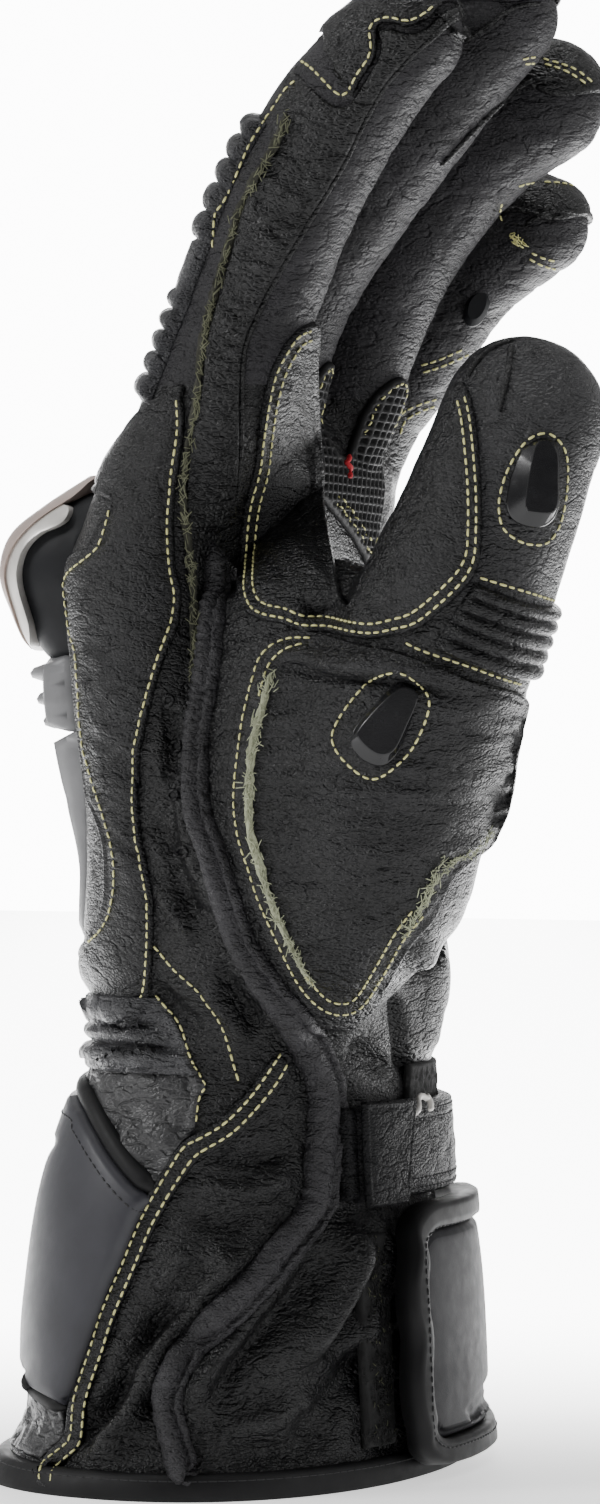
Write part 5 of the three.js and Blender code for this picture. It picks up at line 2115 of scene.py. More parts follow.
@dataclass
class BackPanel:
    """The leather over the back of the hand, open round the guard."""

    near_px: Line = (
        (176, 386), (183, 400), (185, 420), (182, 450), (178, 478), (175, 500), (174, 526), (176, 570),
        (181, 592), (179, 622), (171, 645), (162, 668), (153, 698), (145, 734), (140, 769), (139, 794),
        (141, 826), (146, 855), (152, 891), (154, 930), (152, 973), (147, 1003), (138, 1020), (124, 1022),
    )
    guard_px: Line = (
        (104, 497), (100, 520), (93, 538), (87, 547), (72, 559), (58, 575), (53, 595), (55, 612), (62, 634),
        (67, 650), (70, 672), (72, 708), (73, 730), (78, 756), (88, 790), (97, 818), (104, 842), (106, 862),
        (106, 890), (101, 914), (91, 931), (82, 938),
    )
    stitch_px: Line = (
        (176, 398), (177, 412), (176, 440), (171, 472), (169, 497), (167, 526), (170, 574), (174, 595),
        (171, 620), (164, 640), (155, 665), (146, 695), (137, 732), (133, 769), (132, 794), (134, 826),
        (139, 855), (145, 891), (147, 930), (145, 973), (140, 1000), (134, 1014), (124, 1016),
    )
    guard_stitch_px: Line = (
        (109, 508), (105, 526), (99, 544), (93, 552), (78, 564), (64, 580), (59, 595), (61, 611), (69, 633),
        (74, 649), (76, 672), (78, 708), (79, 722), (82, 748), (91, 780), (99, 805), (108, 834), (113, 859),
        (113, 891), (108, 916), (97, 934), (87, 943),
    )

    foot: Line = ((-143, 98.5), (-158, 97.8))
    crown: Line = ((-112, 207.5), (-128, 208.6), (-150, 209.4), (-180, 209.6))
    hole_ends: Line = ((-150, 200.5), (-150, 103.8))

    def build(self, ground: Surface, thread: Stitching) -> None:
        """Makes the panel and sews it.

        Args:
            ground: The glove so far, which the pieces lie on.
            thread: The yellow thread.
        """
        near = near_and_far([*ROUND.placed(ground, self.near_px), *self.foot])
        outline = [*near, *reversed(near_and_far(self.crown))]
        hole = near_and_far([self.hole_ends[0], *ROUND.placed(ground, self.guard_px), self.hole_ends[1]])
        panel = Panel("back_leather", ROUND, outline, thick=1.1, insets=(1.5,), hole=hole, crown=0.5,
                      relief=BACK_CREASES)
        dress(panel.build(ground), Finish.LEATHER, Slot.LEATHER, "back_panel")
        for line in (self.stitch_px, self.guard_stitch_px):
            thread.both_sides(ground, line)


@dataclass
class FingerPleats:
    """The stretch ribs over the backs of the fingers, in two groups a finger."""

    bands: tuple[tuple[str, tuple[float, ...], tuple[int, ...]], ...] = (
        ("index", (0.82, 1.92, 2.36, 3.6), (5, 0, 5)),
        ("middle", (0.85, 1.75, 2.3, 3.7), (5, 0, 5)),
        ("ring", (0.9, 1.7, 2.3, 3.6), (5, 0, 5)),
        ("little", (0.95, 1.9, 2.4, 3.6), (4, 0, 4)),
    )
    across: Point = (130.0, 232.0)

    def build(self, ground: Surface) -> None:
        """Makes the four panels.

        Args:
            ground: The glove so far, which the pieces lie on.
        """
        for name, rows, rolls in self.bands:
            pleats = Pleats(f"{name}_pleats", DigitChart(DIGITS[name]), self.across, [(r, r) for r in rows],
                            rolls, low=0.8, high=2.7)
            dress(pleats.build(ground), Finish.RIBS, Slot.LEATHER, f"{name}_ribs")


@dataclass
class Fingertips:
    """The shiny nail-side caps of the four fingertips."""

    across: float = 12.0 * 1.18
    along: float = 15.0
    tilt: float = 38.0
    inwards: float = 1.5
    stitches: tuple[Line, ...] = (
        ((296, 58), (310, 67), (325, 82), (336, 93), (346, 94), (357, 74), (367, 60), (371, 47), (369, 29),
         (375, 21), (388, 17), (406, 21), (420, 16), (431, 8), (437, 1)),
        ((521, 60), (534, 57), (548, 60), (575, 69), (597, 86)),
        ((524, 64), (545, 64), (570, 73), (592, 88)),
        ((517, 187), (530, 183), (545, 182), (562, 183), (578, 186)),
        ((530, 252), (545, 259), (560, 262)),
        ((528, 258), (543, 266), (558, 270)),
        ((502, 203), (500, 212), (502, 222)),
        ((419, 366), (436, 361), (453, 354), (469, 347)),
        ((421, 373), (438, 368), (455, 361), (470, 354)),
        ((394, 433), (399, 416), (416, 406), (438, 399)),
        ((400, 436), (405, 421), (420, 412), (436, 406)),
    )
    knot: Line = ((512, 236), (519, 240), (526, 246))
    nail_seams: tuple[Line, ...] = (
        ((440, 166), (470, 134), (500, 104), (532, 81), (552, 79), (570, 83)),
        ((464, 43), (486, 28), (504, 14), (520, 6), (541, 4)),
        ((525, 225), (538, 217), (555, 212), (578, 213)),
    )
    index_edge: Line = (
        (292, 66), (306, 75), (322, 89), (337, 101), (350, 101), (361, 80), (373, 63), (377, 48), (378, 27),
        (388, 23), (407, 27), (428, 19), (440, 6),
    )

    def build(self, ground: Surface, thread: Stitching) -> None:
        """Makes the caps and their seams.

        Args:
            ground: The glove so far, which the pieces lie on.
            thread: The yellow thread.
        """
        for name in ("index", "middle", "ring", "little"):
            tube = DIGITS[name]
            chart = self.chart(tube)
            solid = tube.solid("tip_form")
            form = Surface(ground.space)
            form.add(mesh_points(solid), [tuple(face.vertices) for face in solid.data.polygons])
            bpy.data.objects.remove(solid)
            outline = self.squared_oval()
            if name == "index":
                outline = self.index_cap(form, chart, tube.rows[-1][:3])
            cap = Panel(f"{name}_cap", chart, outline, thick=1.1, insets=(1.6,), sink=0.3, spacing=0.9,
                        relief=TIP_CREASES, lift=0.15, soften=4)
            dress(cap.build(form, True, ground), Finish.SHINY, Slot.SHINY, f"{name}_tip_cap")
        for k, line in enumerate(self.nail_seams):
            welt = Sweep(f"finger_seam_{k + 1}", PHOTO, line, half=0.5, rise=0.7, step=0.6)
            dress(welt.build(ground), Finish.SHINY)
        for line in self.stitches:
            thread.row(ground, PHOTO, line)
        knot = Fray("little_knot", PHOTO, self.knot, half=0.6, per_mm=9, longest=1.5, radius=0.1)
        knot.build(ground, Finish.THREAD)

    def chart(self, tube: Tube) -> PoleChart:
        """The chart of a finger's tip, tilted to its nail side."""
        last = tube.rows[-1]
        axis, back = leaning(last[3]), leaning(last[3] - 90)
        pole = axis * math.sin(math.radians(self.tilt)) + back * math.cos(math.radians(self.tilt))
        return PoleChart(last[:3] - axis * self.inwards, pole)

    def squared_oval(self) -> Line:
        """The outline of a cap, an oval drawn out to its corners."""
        power = 2 / 2.8
        turns = [(np.cos(a), np.sin(a)) for a in np.radians(np.arange(0, 360, 24))]
        return [(self.across * np.sign(c) * abs(c) ** power, self.along * np.sign(s) * abs(s) ** power)
                for c, s in turns]

    def index_cap(self, form: Surface, chart: PoleChart, middle: Array) -> Line:
        """The index cap's outline: the photographed edge, and the same edge on the far side.

        Args:
            form: The finger's own form.
            chart: The fingertip's chart.
            middle: The middle of the fingertip.

        Returns:
            The outline on the chart.
        """
        near, _ = form.lay(PHOTO, np.array(self.index_edge, float))
        far = near[::-1] * (1, -1, 1) + (0, 2 * middle[1], 0)
        return [tuple(place) for place in chart.locate(np.vstack([near, far]))]


@dataclass
class GripPatch:
    """The perforated grip patch on the palm, with two tongues between the finger roots (y, z)."""

    outline: Line = (
        (-14, 199), (-9, 197), (-4, 194.8), (2, 192.2), (8, 189.4), (13, 187), (17.8, 184.8), (19, 190),
        (19.6, 196), (19.5, 201), (18, 205), (16, 208), (15.4, 212), (15.3, 216), (14.6, 219.4),
        (12.6, 221.8), (9.6, 222.8), (6.6, 221.8), (4.6, 219.4), (3.8, 216), (3.6, 212), (3, 208),
        (1, 206.4), (-2, 206.4), (-4.4, 208), (-5.2, 212), (-5.4, 216), (-5.5, 220), (-6.4, 222.6),
        (-8, 224.2), (-10, 224.8), (-12, 224.2), (-13.6, 222.6), (-14.3, 220), (-14.5, 214), (-15, 208),
        (-15.2, 200), (-14.8, 202),
    )
    stitches: tuple[Line, ...] = (
        ((-4, 196.6), (2, 194), (8, 191.1), (14, 188.1), (16.8, 187.2), (17.9, 191)),
        ((-4, 198.5), (2, 195.9), (8, 193), (14, 190.1), (15.4, 189.7)),
        ((4.9, 210), (5, 216), (6, 219.4), (9.6, 221.4), (13, 219.4), (14, 216), (14, 210)),
        ((-6.7, 212), (-6.8, 219), (-8, 222), (-10, 223.4), (-12, 222), (-13, 219), (-13, 210)),
    )
    red_thread: Line = ((-0.2, 201.8), (0.8, 203.6), (-0.8, 204.6), (0.4, 206.2))
    pitch: float = 1.7
    stretch: float = 1.25
    hole_depth: float = 1.15
    hole_wall: Point = (0.42, 0.72)

    def build(self, ground: Surface, thread: Stitching) -> None:
        """Makes the patch and its seam.

        Args:
            ground: The glove so far, which the pieces lie on.
            thread: The yellow thread.
        """
        patch = Panel("grip_leather", FRONT, self.outline, thick=1.4, insets=(), sink=0, spacing=0.34,
                      relief=self.holes)
        dress(patch.build(ground), Finish.RUBBER, Slot.BLACK_RUBBER, "grip_patch")
        for line in self.stitches:
            thread.row(ground, FRONT, line)
        bit = Sweep("red_thread_bit", FRONT, self.red_thread, half=0.45, rise=0.9, step=0.3, soften=1)
        dress(bit.build(ground, False), Finish.RED_THREAD)

    def holes(self, places: Array, _points: Array) -> Array:
        """Rows of square holes."""
        u = np.abs(((places[:, 0] / (self.pitch * self.stretch)) % 1) - 0.5) * 2
        v = np.abs(((places[:, 1] / self.pitch) % 1) - 0.5) * 2
        return -self.hole_depth * (1 - smoothstep(*self.hole_wall, np.maximum(u, v)))


def prism(name: str, outline: Array, low: float, high: float) -> Piece:
    """An outline in x and height, pushed from one y to another.

    Args:
        name: The object's name.
        outline: The outline's points.
        low: The first y.
        high: The last y.

    Returns:
        The solid, in millimetres.
    """
    deselect()
    bpy.ops.mesh.primitive_circle_add(vertices=len(outline), radius=1, fill_type="NGON")
    piece = bpy.context.active_object
    piece.name = name
    for vertex, (x, z) in zip(piece.data.vertices, outline):
        vertex.co = (x, low, z)
    pick(piece)
    bpy.ops.object.mode_set(mode="EDIT")
    bpy.ops.mesh.select_all(action="SELECT")
    bpy.ops.mesh.extrude_region_move(TRANSFORM_OT_translate={"value": (0, high - low, 0)})
    bpy.ops.mesh.select_all(action="SELECT")
    bpy.ops.mesh.normals_make_consistent(inside=False)
    bpy.ops.object.mode_set(mode="OBJECT")
    return piece


def combine(piece: Piece, tool: Piece, how: str) -> None:
    """Joins, cuts or crosses a piece with a tool, and removes the tool."""
    add_modifier(piece, "BOOLEAN", object=tool, operation=how, solver="EXACT")
    bpy.data.objects.remove(tool)


def to_packed(piece: Piece, space: Space, angle: float = 35.0) -> Piece:
    """Turns a piece in millimetres into packed metres and shades its soft edges smooth."""
    set_points(piece, space.metres(mesh_points(piece)))
    pick(piece)
    bpy.ops.object.shade_smooth_by_angle(angle=math.radians(angle))
    return piece


DOME_ROWS = (
    (-36, -5, 163.8, 0, 9, 23, 2.6),
    (-36, -5, 165.6, 0, 11.5, 25.5, 2.8),
    (-36, -5, 168.8, 0, 13.2, 27.4, 3),
    (-36, -5, 174, 0, 15.4, 29.4, 3),
    (-36, -5, 182, 0, 17.6, 32, 3),
    (-35, -5, 190, 0, 16.4, 31, 3),
    (-33, -5, 196, 0, 12, 26.5, 2.8),
    (-31, -5, 199.5, 0, 6, 18, 2.6),
)


@dataclass
class KnuckleGuard:
    """The hard guard: a matte dome under a titanium cap, three fins and a long back plate."""

    cap: Line = (
        (-75, 166.6), (-51, 166.7), (-47.4, 167.2), (-45.2, 168.8), (-44.2, 171.6), (-44.6, 175),
        (-45, 179), (-44.8, 183), (-43.2, 187), (-39.8, 190), (-36.2, 191.4), (-34.4, 193), (-35, 195.4),
        (-38.5, 196.4), (-41.5, 197.6), (-40, 199.2), (-35.5, 201), (-35, 205), (-75, 205),
    )
    cap_rim: Line = (
        (-75, 167), (-51, 167), (-49.4, 167.8), (-48.6, 171), (-48.7, 177), (-48.6, 182.5), (-46.2, 187.4),
        (-42.6, 191.4), (-39, 194.6), (-35.4, 197.4), (-34, 200.6), (-34, 205), (-75, 205),
    )
    cap_lifts: Point = (-0.1, 2.1)
    rim_lift: float = 2.7
    fins: tuple[Triple, ...] = ((162.6, 26.5, 12.4), (157.9, 25.6, 11.6), (153.3, 24.6, 10.8))
    fin_middle: float = -5.0
    fin_rest: Line = (
        (-31.5, 150.4), (-32.2, 157), (-31, 165.4), (-26, 167.4), (-5, 168), (16, 167.4), (21, 165.4),
        (22.2, 157), (21.5, 150.4), (-5, 150.2),
    )
    plate: Line = (
        (-30, 151), (-32, 147), (-32.4, 138), (-32, 126), (-30.4, 117), (-26, 110), (-16, 106), (-5, 105.2),
        (6, 106), (16, 110), (20.4, 117), (22, 126), (22.4, 138), (22, 147), (20, 151), (-5, 151.6),
    )
    plate_rise: float = 5.3
    plate_ends: Point = (117, 154)
    dimple_rows: tuple[Triple, Point] = ((-20, -5, 10), (144.5, 113.5))
    dimple_radius: float = 1.6
    skin_width: Point = (-44, 41)
    skin_heights: Point = (120, 215)
    far_back: float = -120.0

    def form(self, name: str, grow: float) -> Piece:
        """The dome's form, grown."""
        rows = np.array(DOME_ROWS, float)
        rows[:, 4:6] += grow
        rows[0, 2] -= grow
        rows[-1, 2] += grow
        return Tube.of([tuple(row) for row in rows]).solid(name, step=0.16, sides=96)

    def sink(self, piece: Piece, ground: Surface, under: float) -> None:
        """Draws what is inside the hand back to just under its skin.

        Args:
            piece: The piece, in millimetres.
            ground: The skin.
            under: How far under it the piece ends.
        """
        points = mesh_points(piece)
        across, heights = np.clip(points[:, 1], *self.skin_width), np.clip(points[:, 2], *self.skin_heights)
        starts = np.column_stack([np.full(len(points), self.far_back), across, heights])
        for k, start in enumerate(starts):
            hit = ground.first_hit(start, (1, 0, 0))
            if hit is not None:
                points[k, 0] = min(points[k, 0], hit[0] + under)
        set_points(piece, points)

    def build(self, ground: Surface) -> None:
        """Makes the guard's pieces.

        Args:
            ground: The glove so far, which the pieces lie on.
        """
        skin = ground.copy()
        dome = self.form("guard_dome", 0.0)
        self.sink(dome, skin, 0.4)
        to_packed(dome, ground.space, 60)
        dress(dome, Finish.DARK_PLASTIC, Slot.DARK_PLASTIC, "knuckle_dome")
        for name, outline, low, high, finish in (
            ("guard_cap", self.cap, self.cap_lifts[0], self.cap_lifts[1], Finish.TITANIUM),
            ("guard_cap_rim", self.cap_rim, 0.2, self.rim_lift, Finish.TITANIUM_DARK),
        ):
            shell = self.form(name, high)
            combine(shell, self.form("inner", low), "DIFFERENCE")
            area = prism("area", smooth_line(outline, 1.0, closed=True), -60, 60)
            combine(shell, area, "INTERSECT")
            self.sink(shell, skin, 0.3)
            add_modifier(shell, "BEVEL", width=0.3, segments=2, limit_method="ANGLE",
                         angle_limit=math.radians(50), use_clamp_overlap=True)
            to_packed(shell, ground.space, 40)
            dress(shell, finish, Slot.TITANIUM, "knuckle_cap")
        rest = Panel("guard_louvre_rest", ROUND, self.on_back(self.fin_rest), thick=8.3, insets=(), sink=0,
                     corner=1.5, spacing=1.2, rounded=False)
        dress(rest.build(ground.copy()), Finish.GREY_RUBBER)
        for k, (height, half, rise) in enumerate(self.fins, 1):
            fin = Sweep(f"guard_louvre_{k}", ROUND, self.across(half, height), rise=rise, step=1.0,
                        taper=0.14, tilt=0.5, half=((0, 1.5), (0.12, 2.45), (0.88, 2.45), (1, 1.5)))
            dress(fin.build(ground, False), Finish.GREY_RUBBER, Slot.GREY_RUBBER, f"guard_fin_{k}")
        plate = Panel("guard_plate", ROUND, self.on_back(self.plate), thick=1.7, insets=(3.4,), sink=0.7,
                      corner=1.2, crown=0.5, spacing=1.1, relief=self.dimples)
        dress(plate.build(ground), Finish.GREY_RUBBER, Slot.GREY_RUBBER, "back_plate")

    def across(self, half: float, height: float) -> list[Point]:
        """A level line over the back of the hand."""
        ys = np.linspace(self.fin_middle - half, self.fin_middle + half, 9)
        return self.on_back([(y, height) for y in ys])

    @staticmethod
    def on_back(line: Line) -> list[Point]:
        """Round-chart places of a line drawn as y and height on the back."""
        return [(-180 - a, z) for a, z in ROUND.from_front(line)]

    def dimples(self, _places: Array, points: Array) -> Array:
        """The plate's rise towards the knuckles, and small round dimples near both ends."""
        total = self.plate_rise * smoothstep(*self.plate_ends, points[:, 2])
        ys, zs = self.dimple_rows
        for y in ys:
            for z in zs:
                away = np.hypot(points[:, 1] - y, points[:, 2] - z)
                total -= np.exp(-((away / self.dimple_radius) ** 2))
        return total


@dataclass
class Slider:
    """A hard puck with a narrower flat face, set square to the side of the thumb and palm.

    Attributes:
        name: The piece's name.
        node: The CAD node that it stands for.
        across: Its middle's place to the photographer's right.
        height: Its middle's height.
        outline: Its foot, right and up from that middle.
        facet: Its flat face.
        seam: The stitched line round it, in pixels.
        rise: Its height.
        root: How deep its foot reaches.
        finish: Its finish.
        slot: The record's slot of that finish.
        side_turn: The direction that it faces, in degrees from the thumb side.
        sides: Corners of its outline.
    """

    name: str
    node: str
    across: float
    height: float
    outline: Line
    facet: Line
    seam: Line = ()
    rise: float = 3.3
    root: float = 4.0
    finish: Finish = Finish.GLOSS
    slot: Slot = Slot.GLOSS
    side_turn: float = VIEW.turn
    sides: int = 56

    def ring(self, outline: Line, share: float = 1.0) -> Array:
        """An outline at even angles round its own middle.

        Args:
            outline: The outline's points.
            share: How large it is drawn.

        Returns:
            The flat points.
        """
        dense = smooth_line(outline, 0.1, closed=True)
        middle = np.mean(dense, axis=0)
        away = dense - middle
        polar = np.arctan2(away[:, 1], away[:, 0])
        order = np.argsort(polar)
        angles = np.linspace(-math.pi, math.pi, self.sides + 1)[:-1]
        reach = np.interp(angles, polar[order], np.linalg.norm(away, axis=1)[order], period=2 * math.pi)
        return middle + np.column_stack([np.cos(angles), np.sin(angles)]) * (reach * share)[:, None]

    def build(self, ground: Surface, thread: Stitching) -> None:
        """Makes the puck and its seam.

        Args:
            ground: The glove so far, which the pieces lie on.
            thread: The yellow thread.
        """
        if self.seam:
            thread.row(ground, PHOTO, self.seam, closed=True)
        c, s = math.cos(math.radians(self.side_turn)), math.sin(math.radians(self.side_turn))
        toward = np.array([s, -c, 0.0])
        start = np.array([c, s, 0]) * self.across + np.array([0, 0, self.height]) + toward * 120
        hit = ground.first_hit(start, -toward)
        levels = ((self.outline, 1.0, -self.root), (self.outline, 1.0, 0.16), (self.outline, 0.985, 0.26),
                  (self.outline, 0.95, 0.34), (self.facet, 1.03, 0.95), (self.facet, 0.985, 1.0),
                  (self.facet, 0.5, 1.0))
        rings = []
        for outline, share, up in levels:
            flat = self.ring(outline, share)
            high = up if up < 0 else up * self.rise
            rings.append(np.column_stack([flat, np.full(len(flat), high)]))
        points = np.vstack(rings)
        faces = [*grid_faces(len(rings), self.sides, wrap=True), *end_faces(len(rings), self.sides)]
        points = points @ np.array([[c, s, 0], [0, 0, 1], toward]) + np.array(hit)
        puck = make_object(self.name, points, outward(points, faces))
        to_packed(puck, ground.space, 13)
        dress(puck, self.finish, self.slot, self.node)


SLIDERS = (
    Slider("thumb_puck", "thumb_slider", 44.2, 196.8,
           ((1, 8.8), (3.7, 7.9), (4.6, 5.4), (4.8, 0), (4.6, -4.6), (3.2, -7.4), (0.5, -8.5), (-3.2, -7.6),
            (-5, -5.6), (-5.2, -2.4), (-4.1, 2.2), (-2.2, 6.3)),
           ((0.5, 7.3), (3.0, 7.3), (4.2, 5), (4.3, 0), (4.2, -4.2), (3, -5.8), (-0.2, -5.7), (-1.6, -5.1),
            (-1.5, -1.4), (-0.4, 4.5)),
           ((547, 433), (560, 442), (567, 458), (567, 490), (561, 522), (551, 540), (540, 545), (521, 542),
            (503, 528), (499, 504), (504, 480), (514, 458), (529, 439))),
    Slider("palm_puck", "palm_slider", 16.5, 151.4,
           ((3.9, 8.4), (6.2, 6.6), (6.6, 4), (3.9, -2.4), (1.4, -6.6), (-1.2, -8.1), (-4.4, -7),
            (-6.6, -4.6), (-6.8, -2.4), (-5.7, -0.1), (-2.5, 3.6), (0.9, 7)),
           ((3.2, 6.8), (5.4, 6.0), (5.7, 4.3), (3.6, -0.6), (1.5, -4.8), (-0.7, -5.9), (-3, -5.1),
            (-5.2, -2.9), (-5.4, -1.4), (-2.5, 2.2), (0.9, 5.5)),
           ((398, 673), (416, 682), (429, 699), (425, 722), (409, 753), (383, 776), (366, 778), (344, 761),
            (332, 741), (337, 722), (356, 695), (375, 678)), rise=2.4),
    Slider("little_puck", "little_slider", 36.5, 238.0,
           ((2, 4), (2.9, 2.4), (2.4, -0.6), (0.8, -3.4), (-1.4, -4.2), (-2.8, -2.6), (-2.4, 0.4), (-0.6, 3)),
           ((1.4, 2.8), (2, 1.6), (1.6, -0.6), (0.4, -2.4), (-1, -2.8), (-1.9, -1.7), (-1.6, 0.4),
            (-0.4, 2.1)),
           rise=1.8, root=2.0, finish=Finish.DARK_PLASTIC, slot=Slot.DARK_PLASTIC),
)


LIPPED_PROFILE = (
    (-1, -0.12), (-1, 0.12), (-0.94, 0.45), (-0.76, 0.78), (-0.46, 0.97), (-0.12, 1), (0.16, 0.9),
    (0.36, 0.62), (0.46, 0.42), (0.54, 0.46), (0.66, 0.58), (0.8, 0.56), (0.94, 0.36), (1, 0.1), (1, -0.12),
)


@dataclass
class Outseam:
    """The padded roll that runs down the thumb side from the index finger to the hem."""

    line: Line = (
        (212, 542), (216, 578), (216, 617), (212, 655), (208, 690), (201, 726), (199, 762), (200, 811),
        (212, 847), (228, 900), (246, 947), (269, 985), (295, 1020), (312, 1052), (324, 1082), (327, 1114),
        (322, 1160), (316, 1206), (280, 1256), (240, 1300), (200, 1340), (175, 1376), (170, 1412),
        (180, 1460), (188, 1486),
    )
    halves: Line = (
        (0, 2.5), (0.08, 2.8), (0.3, 3.0), (0.42, 3.4), (0.52, 4.0), (0.58, 4.6), (0.65, 4.6), (0.72, 3.6),
        (0.8, 4.0), (0.86, 3.8), (0.93, 3.2), (1, 3.2),
    )

    def build(self, ground: Surface) -> None:
        """Makes the roll.

        Args:
            ground: The glove so far, which the pieces lie on.
        """
        roll = Sweep("outseam_padding", PHOTO, self.line, half=self.halves, rise=3.4, step=0.4, soften=12,
                     ribbing=(0.09, 1.7), ribbed_to=0.2, ragged=0.1, profile=LIPPED_PROFILE)
        piece = roll.build(ground)
        dress(piece, Finish.ROLL, Slot.LEATHER, "outseam_roll")


@dataclass(frozen=True)
class Perforations:
    """Small punched holes in the stretch side panel, each drawn as a soft raised rim round a thin black disc;
    no hole is cut, and the disc is painted shade for the hole's dark inside.
    """

    places: Line = ((176, 746), (173, 795), (178, 908), (182, 852), (168, 700))
    rim: float = 5.0
    hole: float = 3.4

    def build(self, ground: Surface) -> None:
        """Makes the holes' rims and the black discs of painted shade in their middles.

        Args:
            ground: The glove so far, which the pieces lie on.
        """
        for k, place in enumerate(self.places, 1):
            rim = Sweep(f"vent_rim_{k}", PHOTO, self.circle(place, self.rim, 12), half=0.4, rise=0.45,
                        closed=True, step=0.3, soften=1)
            dress(rim.build(ground, False), Finish.LEATHER)
            # Painted shade: a thin black disc over the skin stands in for the dark inside of the hole, which
            # is not cut.
            floor = Panel(f"vent_painted_shade_{k}", PHOTO, self.circle(place, self.hole, 10), thick=0.12, insets=(),
                          sink=0, spacing=0.3, corner=0.1)
            dress(floor.build(ground, False), Finish.RUBBER)

    @staticmethod
    def circle(middle: Point, radius: float, corners: int) -> Line:
        """A circle's corners in pixels."""
        angles = np.linspace(0, 2 * math.pi, corners + 1)[:-1]
        return [(middle[0] + radius * math.cos(a), middle[1] + radius * math.sin(a)) for a in angles]


@dataclass
class CuffSeam:
    """The flat, twice-stitched seam beside the cuff guard, and the crumpled band under the guard."""

    left: Line = (
        (282, 1052), (266, 1076), (249, 1099), (224, 1124), (199, 1139), (184, 1147), (170, 1168),
        (155, 1193), (141, 1219), (131, 1242), (121, 1267), (111, 1289), (99, 1319), (90, 1349), (80, 1378),
        (73, 1403), (70, 1437), (59, 1449), (44, 1461), (39, 1473), (41, 1486),
    )
    right: Line = (
        (288, 1063), (276, 1084), (256, 1109), (232, 1133), (206, 1149), (194, 1157), (181, 1175),
        (166, 1199), (152, 1224), (142, 1247), (132, 1271), (122, 1294), (110, 1324), (101, 1353),
        (91, 1381), (84, 1406), (80, 1441), (68, 1455), (54, 1467), (50, 1477), (51, 1487),
    )
    band: Line = ((64, 1404), (66, 1436), (56, 1446), (41, 1458), (34, 1472))

    def build(self, ground: Surface, thread: Stitching) -> None:
        """Makes the band and the seam.

        Args:
            ground: The glove so far, which the pieces lie on.
            thread: The yellow thread.
        """
        near = ROUND.placed(ground, self.band)
        outline = near_and_far([(-180, 22), (near[0][0] - 10, 22), *near, (near[-1][0], 5.8), (-180, 5.8)])
        band = Panel("cuff_foot_leather", ROUND, outline, thick=0.9, insets=(), sink=0, spacing=1.2,
                     relief=CRUMPLES, rounded=False)
        dress(band.build(ground), Finish.WRIST)
        middle = [((a + c) / 2, (b + d) / 2) for (a, b), (c, d) in zip(self.left, self.right)]
        seam = Sweep("cuff_side_seam", PHOTO, middle, half=2.3, rise=1.0, step=0.8, profile=FLAT_PROFILE,
                     soften=6)
        dress(seam.build(ground), Finish.LEATHER)
        for line in (self.left, self.right):
            thread.row(ground, PHOTO, line)


@dataclass
class WristBack:
    """The stretch ribs and the crumpled coated leather over the back of the wrist."""

    ribs_end: Line = ((160, 1000), (197, 1074))
    gusset: Line = (
        (181, 1034), (186, 1052), (204, 1082), (206, 1090), (199, 1100), (196, 1128), (184, 1141),
        (172, 1160), (160, 1182),
    )
    stitches: tuple[Line, ...] = (
        ((152, 945), (173, 969), (198, 992), (215, 1015), (224, 1032), (233, 1063), (241, 1089)),
        ((154, 994), (173, 1015), (182, 1030), (190, 1055), (202, 1080), (205, 1088), (199, 1098),
         (196, 1126)),
    )

    def build(self, ground: Surface, thread: Stitching) -> None:
        """Makes the leather, the ribs over it and the seams.

        Args:
            ground: The glove so far, which the pieces lie on.
            thread: The yellow thread.
        """
        near = ROUND.placed(ground, self.gusset)
        outline = near_and_far([(-116, 83), *near[1:], (-128, 58.5), (-150, 58)])
        leather = Panel("wrist_back_leather", ROUND, outline, thick=0.9, insets=(), sink=0, spacing=1.1,
                        relief=CRUMPLES, rounded=False)
        dress(leather.build(ground), Finish.WRIST, Slot.COATED)
        ends = ROUND.placed(ground, self.ribs_end)
        first = ends[1][0]
        pleats = Pleats("wrist_pleats", ROUND, (first, -360 - first), ((82.2, 82.2), (97.4, 97.4)), (3,),
                        low=1.0, high=3.6, columns=130, steps=14, sharp=0.6, crumple=0.3,
                        slant=ends[0][0] - first)
        dress(pleats.build(ground), Finish.PLEATS, Slot.COATED, "wrist_ribs")
        for line in self.stitches:
            thread.both_sides(ground, line)


